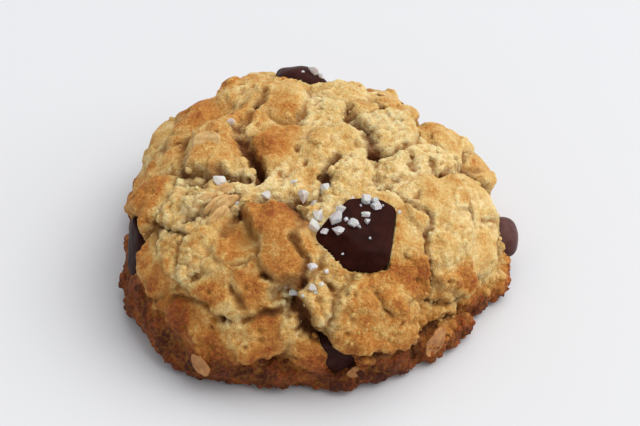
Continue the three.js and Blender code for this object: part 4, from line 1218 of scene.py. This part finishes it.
def salt_material():
    """Coarse salt: cloudy white, half clear."""
    finish = Finish("coarse salt")
    cloud = finish.grain(scale=1400, detail=3)
    finish.feed(
        finish.shader,
        Base_Color=finish.ramp(cloud, (0.3, srgb(240, 234, 234)), (0.7, srgb(252, 250, 249))),
        Roughness=finish.scaled(cloud, factor=0.4, offset=0.2),
        Transmission_Weight=0.45,
        IOR=1.45,
        Subsurface_Weight=0.3,
        Subsurface_Scale=0.001,
    )
    return finish.material


def oat_material():
    """Rolled oats: pale on the crown, toasted at the foot."""
    finish = Finish("rolled oat")
    flecks = finish.grain(scale=900, detail=4)
    pale = finish.ramp(flecks, (0.3, srgb(200, 156, 90)), (0.7, srgb(230, 200, 140)))
    toasted = finish.ramp(flecks, (0.3, srgb(146, 90, 44)), (0.7, srgb(194, 138, 80)))
    finish.feed(
        finish.shader,
        Base_Color=finish.mix(finish.attribute("browned"), pale, toasted),
        Roughness=0.7,
        Normal=finish.bump(flecks, strength=0.5, distance=0.0002),
        Subsurface_Weight=0.1,
        Subsurface_Scale=0.001,
    )
    return finish.material


def floor_material():
    finish = Finish("pale floor")
    finish.feed(finish.shader, Base_Color=srgb(213, 214, 217), Roughness=0.7)
    return finish.material


# ---------- Browning ----------

# How browned a place is: at least a little, then by its plate's toast, and more so towards the
# plate's middle. Bulges are browner. Wide dents and fine ridges are paler.
BROWNING = {
    "least": 0.08, "plates": 0.5, "middles": 0.35, "rims": (0.3, 2.4),
    "bulges": 0.2, "widest": 0.5, "ridges": 0.8, "highest": 0.2, "most": 0.88,
}
# What the foot's browning adds: all of it below one height and nothing above the top. The top and the
# amount swing round the cookie, greatest towards the azimuth, the front-left away from the lamps, where
# the swing is painted shade.
FOOT_BROWNING_AND_SHADE = {
    "azimuth": -130, "full": 2.0, "top": 10.5, "top_swing": 4.5, "amount": 0.5, "swing": 0.2,
}
WARM_SHADE_DEPTHS = {"wide": 0.8, "near": 0.2}  # depths of dents that get the full painted warm shade


def brown(dough):
    """Stores how browned each point is, with painted shade where the foot swings to the front-left, and
    how much painted warm shade it gets for lying in a dent.
    """
    places = vertices_of(dough) / MM
    foot = FOOT_BROWNING_AND_SHADE
    towards = np.cos(np.arctan2(places[:, 1], places[:, 0]) - math.radians(foot["azimuth"]))
    low = 1 - smoothstep(places[:, 2], foot["full"], foot["top"] + foot["top_swing"] * towards)
    wide = attribute_of(dough, "wide_dent")
    near = attribute_of(dough, "dent")
    middle = smoothstep(attribute_of(dough, "rim"), *BROWNING["rims"])
    toast = attribute_of(dough, "toast")
    browned = BROWNING["least"] + toast * (BROWNING["plates"] + BROWNING["middles"] * middle)
    browned -= BROWNING["bulges"] * np.clip(wide, -BROWNING["widest"], BROWNING["widest"])
    browned -= BROWNING["ridges"] * np.clip(-near, 0, BROWNING["highest"])
    # Real browning at the foot, plus painted shade where it swings towards the front-left.
    browned += low * (foot["amount"] + foot["swing"] * towards)
    set_attribute(dough, "browned", np.clip(browned, 0, BROWNING["most"]))
    # Painted warm shade, deeper in the dents.
    warm_shade = (np.clip(wide / WARM_SHADE_DEPTHS["wide"], 0, 1) + np.clip(near / WARM_SHADE_DEPTHS["near"], 0, 1)) / 2
    set_attribute(dough, "warm_shade", warm_shade)


# ---------- Stage ----------

CAMERA_TARGET = Vector((2.5, 0, 11.8)) * MM
CAMERA_DISTANCE = 420 * MM
CAMERA_ELEVATION = math.radians(42)
PIXELS_PER_MM = 5.09  # at the target
PHOTO_WIDTH = 640
SENSOR_WIDTH = 36
LIT_PLACE = Vector((0, 0, 0.01))


def aim(thing, target):
    direction = target - thing.location
    thing.rotation_euler = direction.to_track_quat("-Z", "Y").to_euler()


def set_camera():
    data = bpy.data.cameras.new("camera")
    camera = bpy.data.objects.new("camera", data)
    bpy.context.scene.collection.objects.link(camera)
    back = Vector((0, -math.cos(CAMERA_ELEVATION), math.sin(CAMERA_ELEVATION)))
    camera.location = CAMERA_TARGET + back * CAMERA_DISTANCE
    aim(camera, CAMERA_TARGET)
    data.sensor_width = SENSOR_WIDTH
    data.lens = SENSOR_WIDTH * PIXELS_PER_MM * CAMERA_DISTANCE / MM / PHOTO_WIDTH
    data.clip_start = 0.01
    data.clip_end = 20
    bpy.context.scene.camera = camera


def add_light(name, location, size, power, colour):
    data = bpy.data.lights.new(name, "AREA")
    data.shape = "DISK"
    data.size = size
    data.energy = power
    data.color = colour
    light = bpy.data.objects.new(name, data)
    bpy.context.scene.collection.objects.link(light)
    light.location = location
    aim(light, LIT_PLACE)


def set_stage():
    bpy.ops.object.select_all(action="DESELECT")
    bpy.ops.mesh.primitive_plane_add(size=6)
    floor = added("floor")
    floor.data.materials.append(floor_material())
    add_light("window", location=(1.55, -0.35, 1.8), size=2.6, power=32.0, colour=(1.0, 0.985, 0.96))
    add_light("sky", location=(0.95, 0.55, 2.2), size=3.0, power=37.0, colour=(1.0, 0.99, 0.97))
    world = bpy.data.worlds.new("studio")
    world.use_nodes = True
    background = world.node_tree.nodes["Background"]
    background.inputs["Color"].default_value = (0.96, 0.975, 1.0, 1)
    background.inputs["Strength"].default_value = 0.56
    bpy.context.scene.world = world
    bpy.context.scene.view_settings.view_transform = "Standard"


# ---------- Assembly ----------


def dress_cookie():
    baked = dough_material()
    dough = dough_crust(baked)
    brown(dough)
    loose_crumbs(dough, baked)
    chocolate = chocolate_material()
    for name, chunk in CHUNKS.items():
        chocolate_chunk(name, chunk, chocolate)
    salt_crystals(salt_material())
    oat_flakes(oat_material())


dress_cookie()
set_stage()
set_camera()
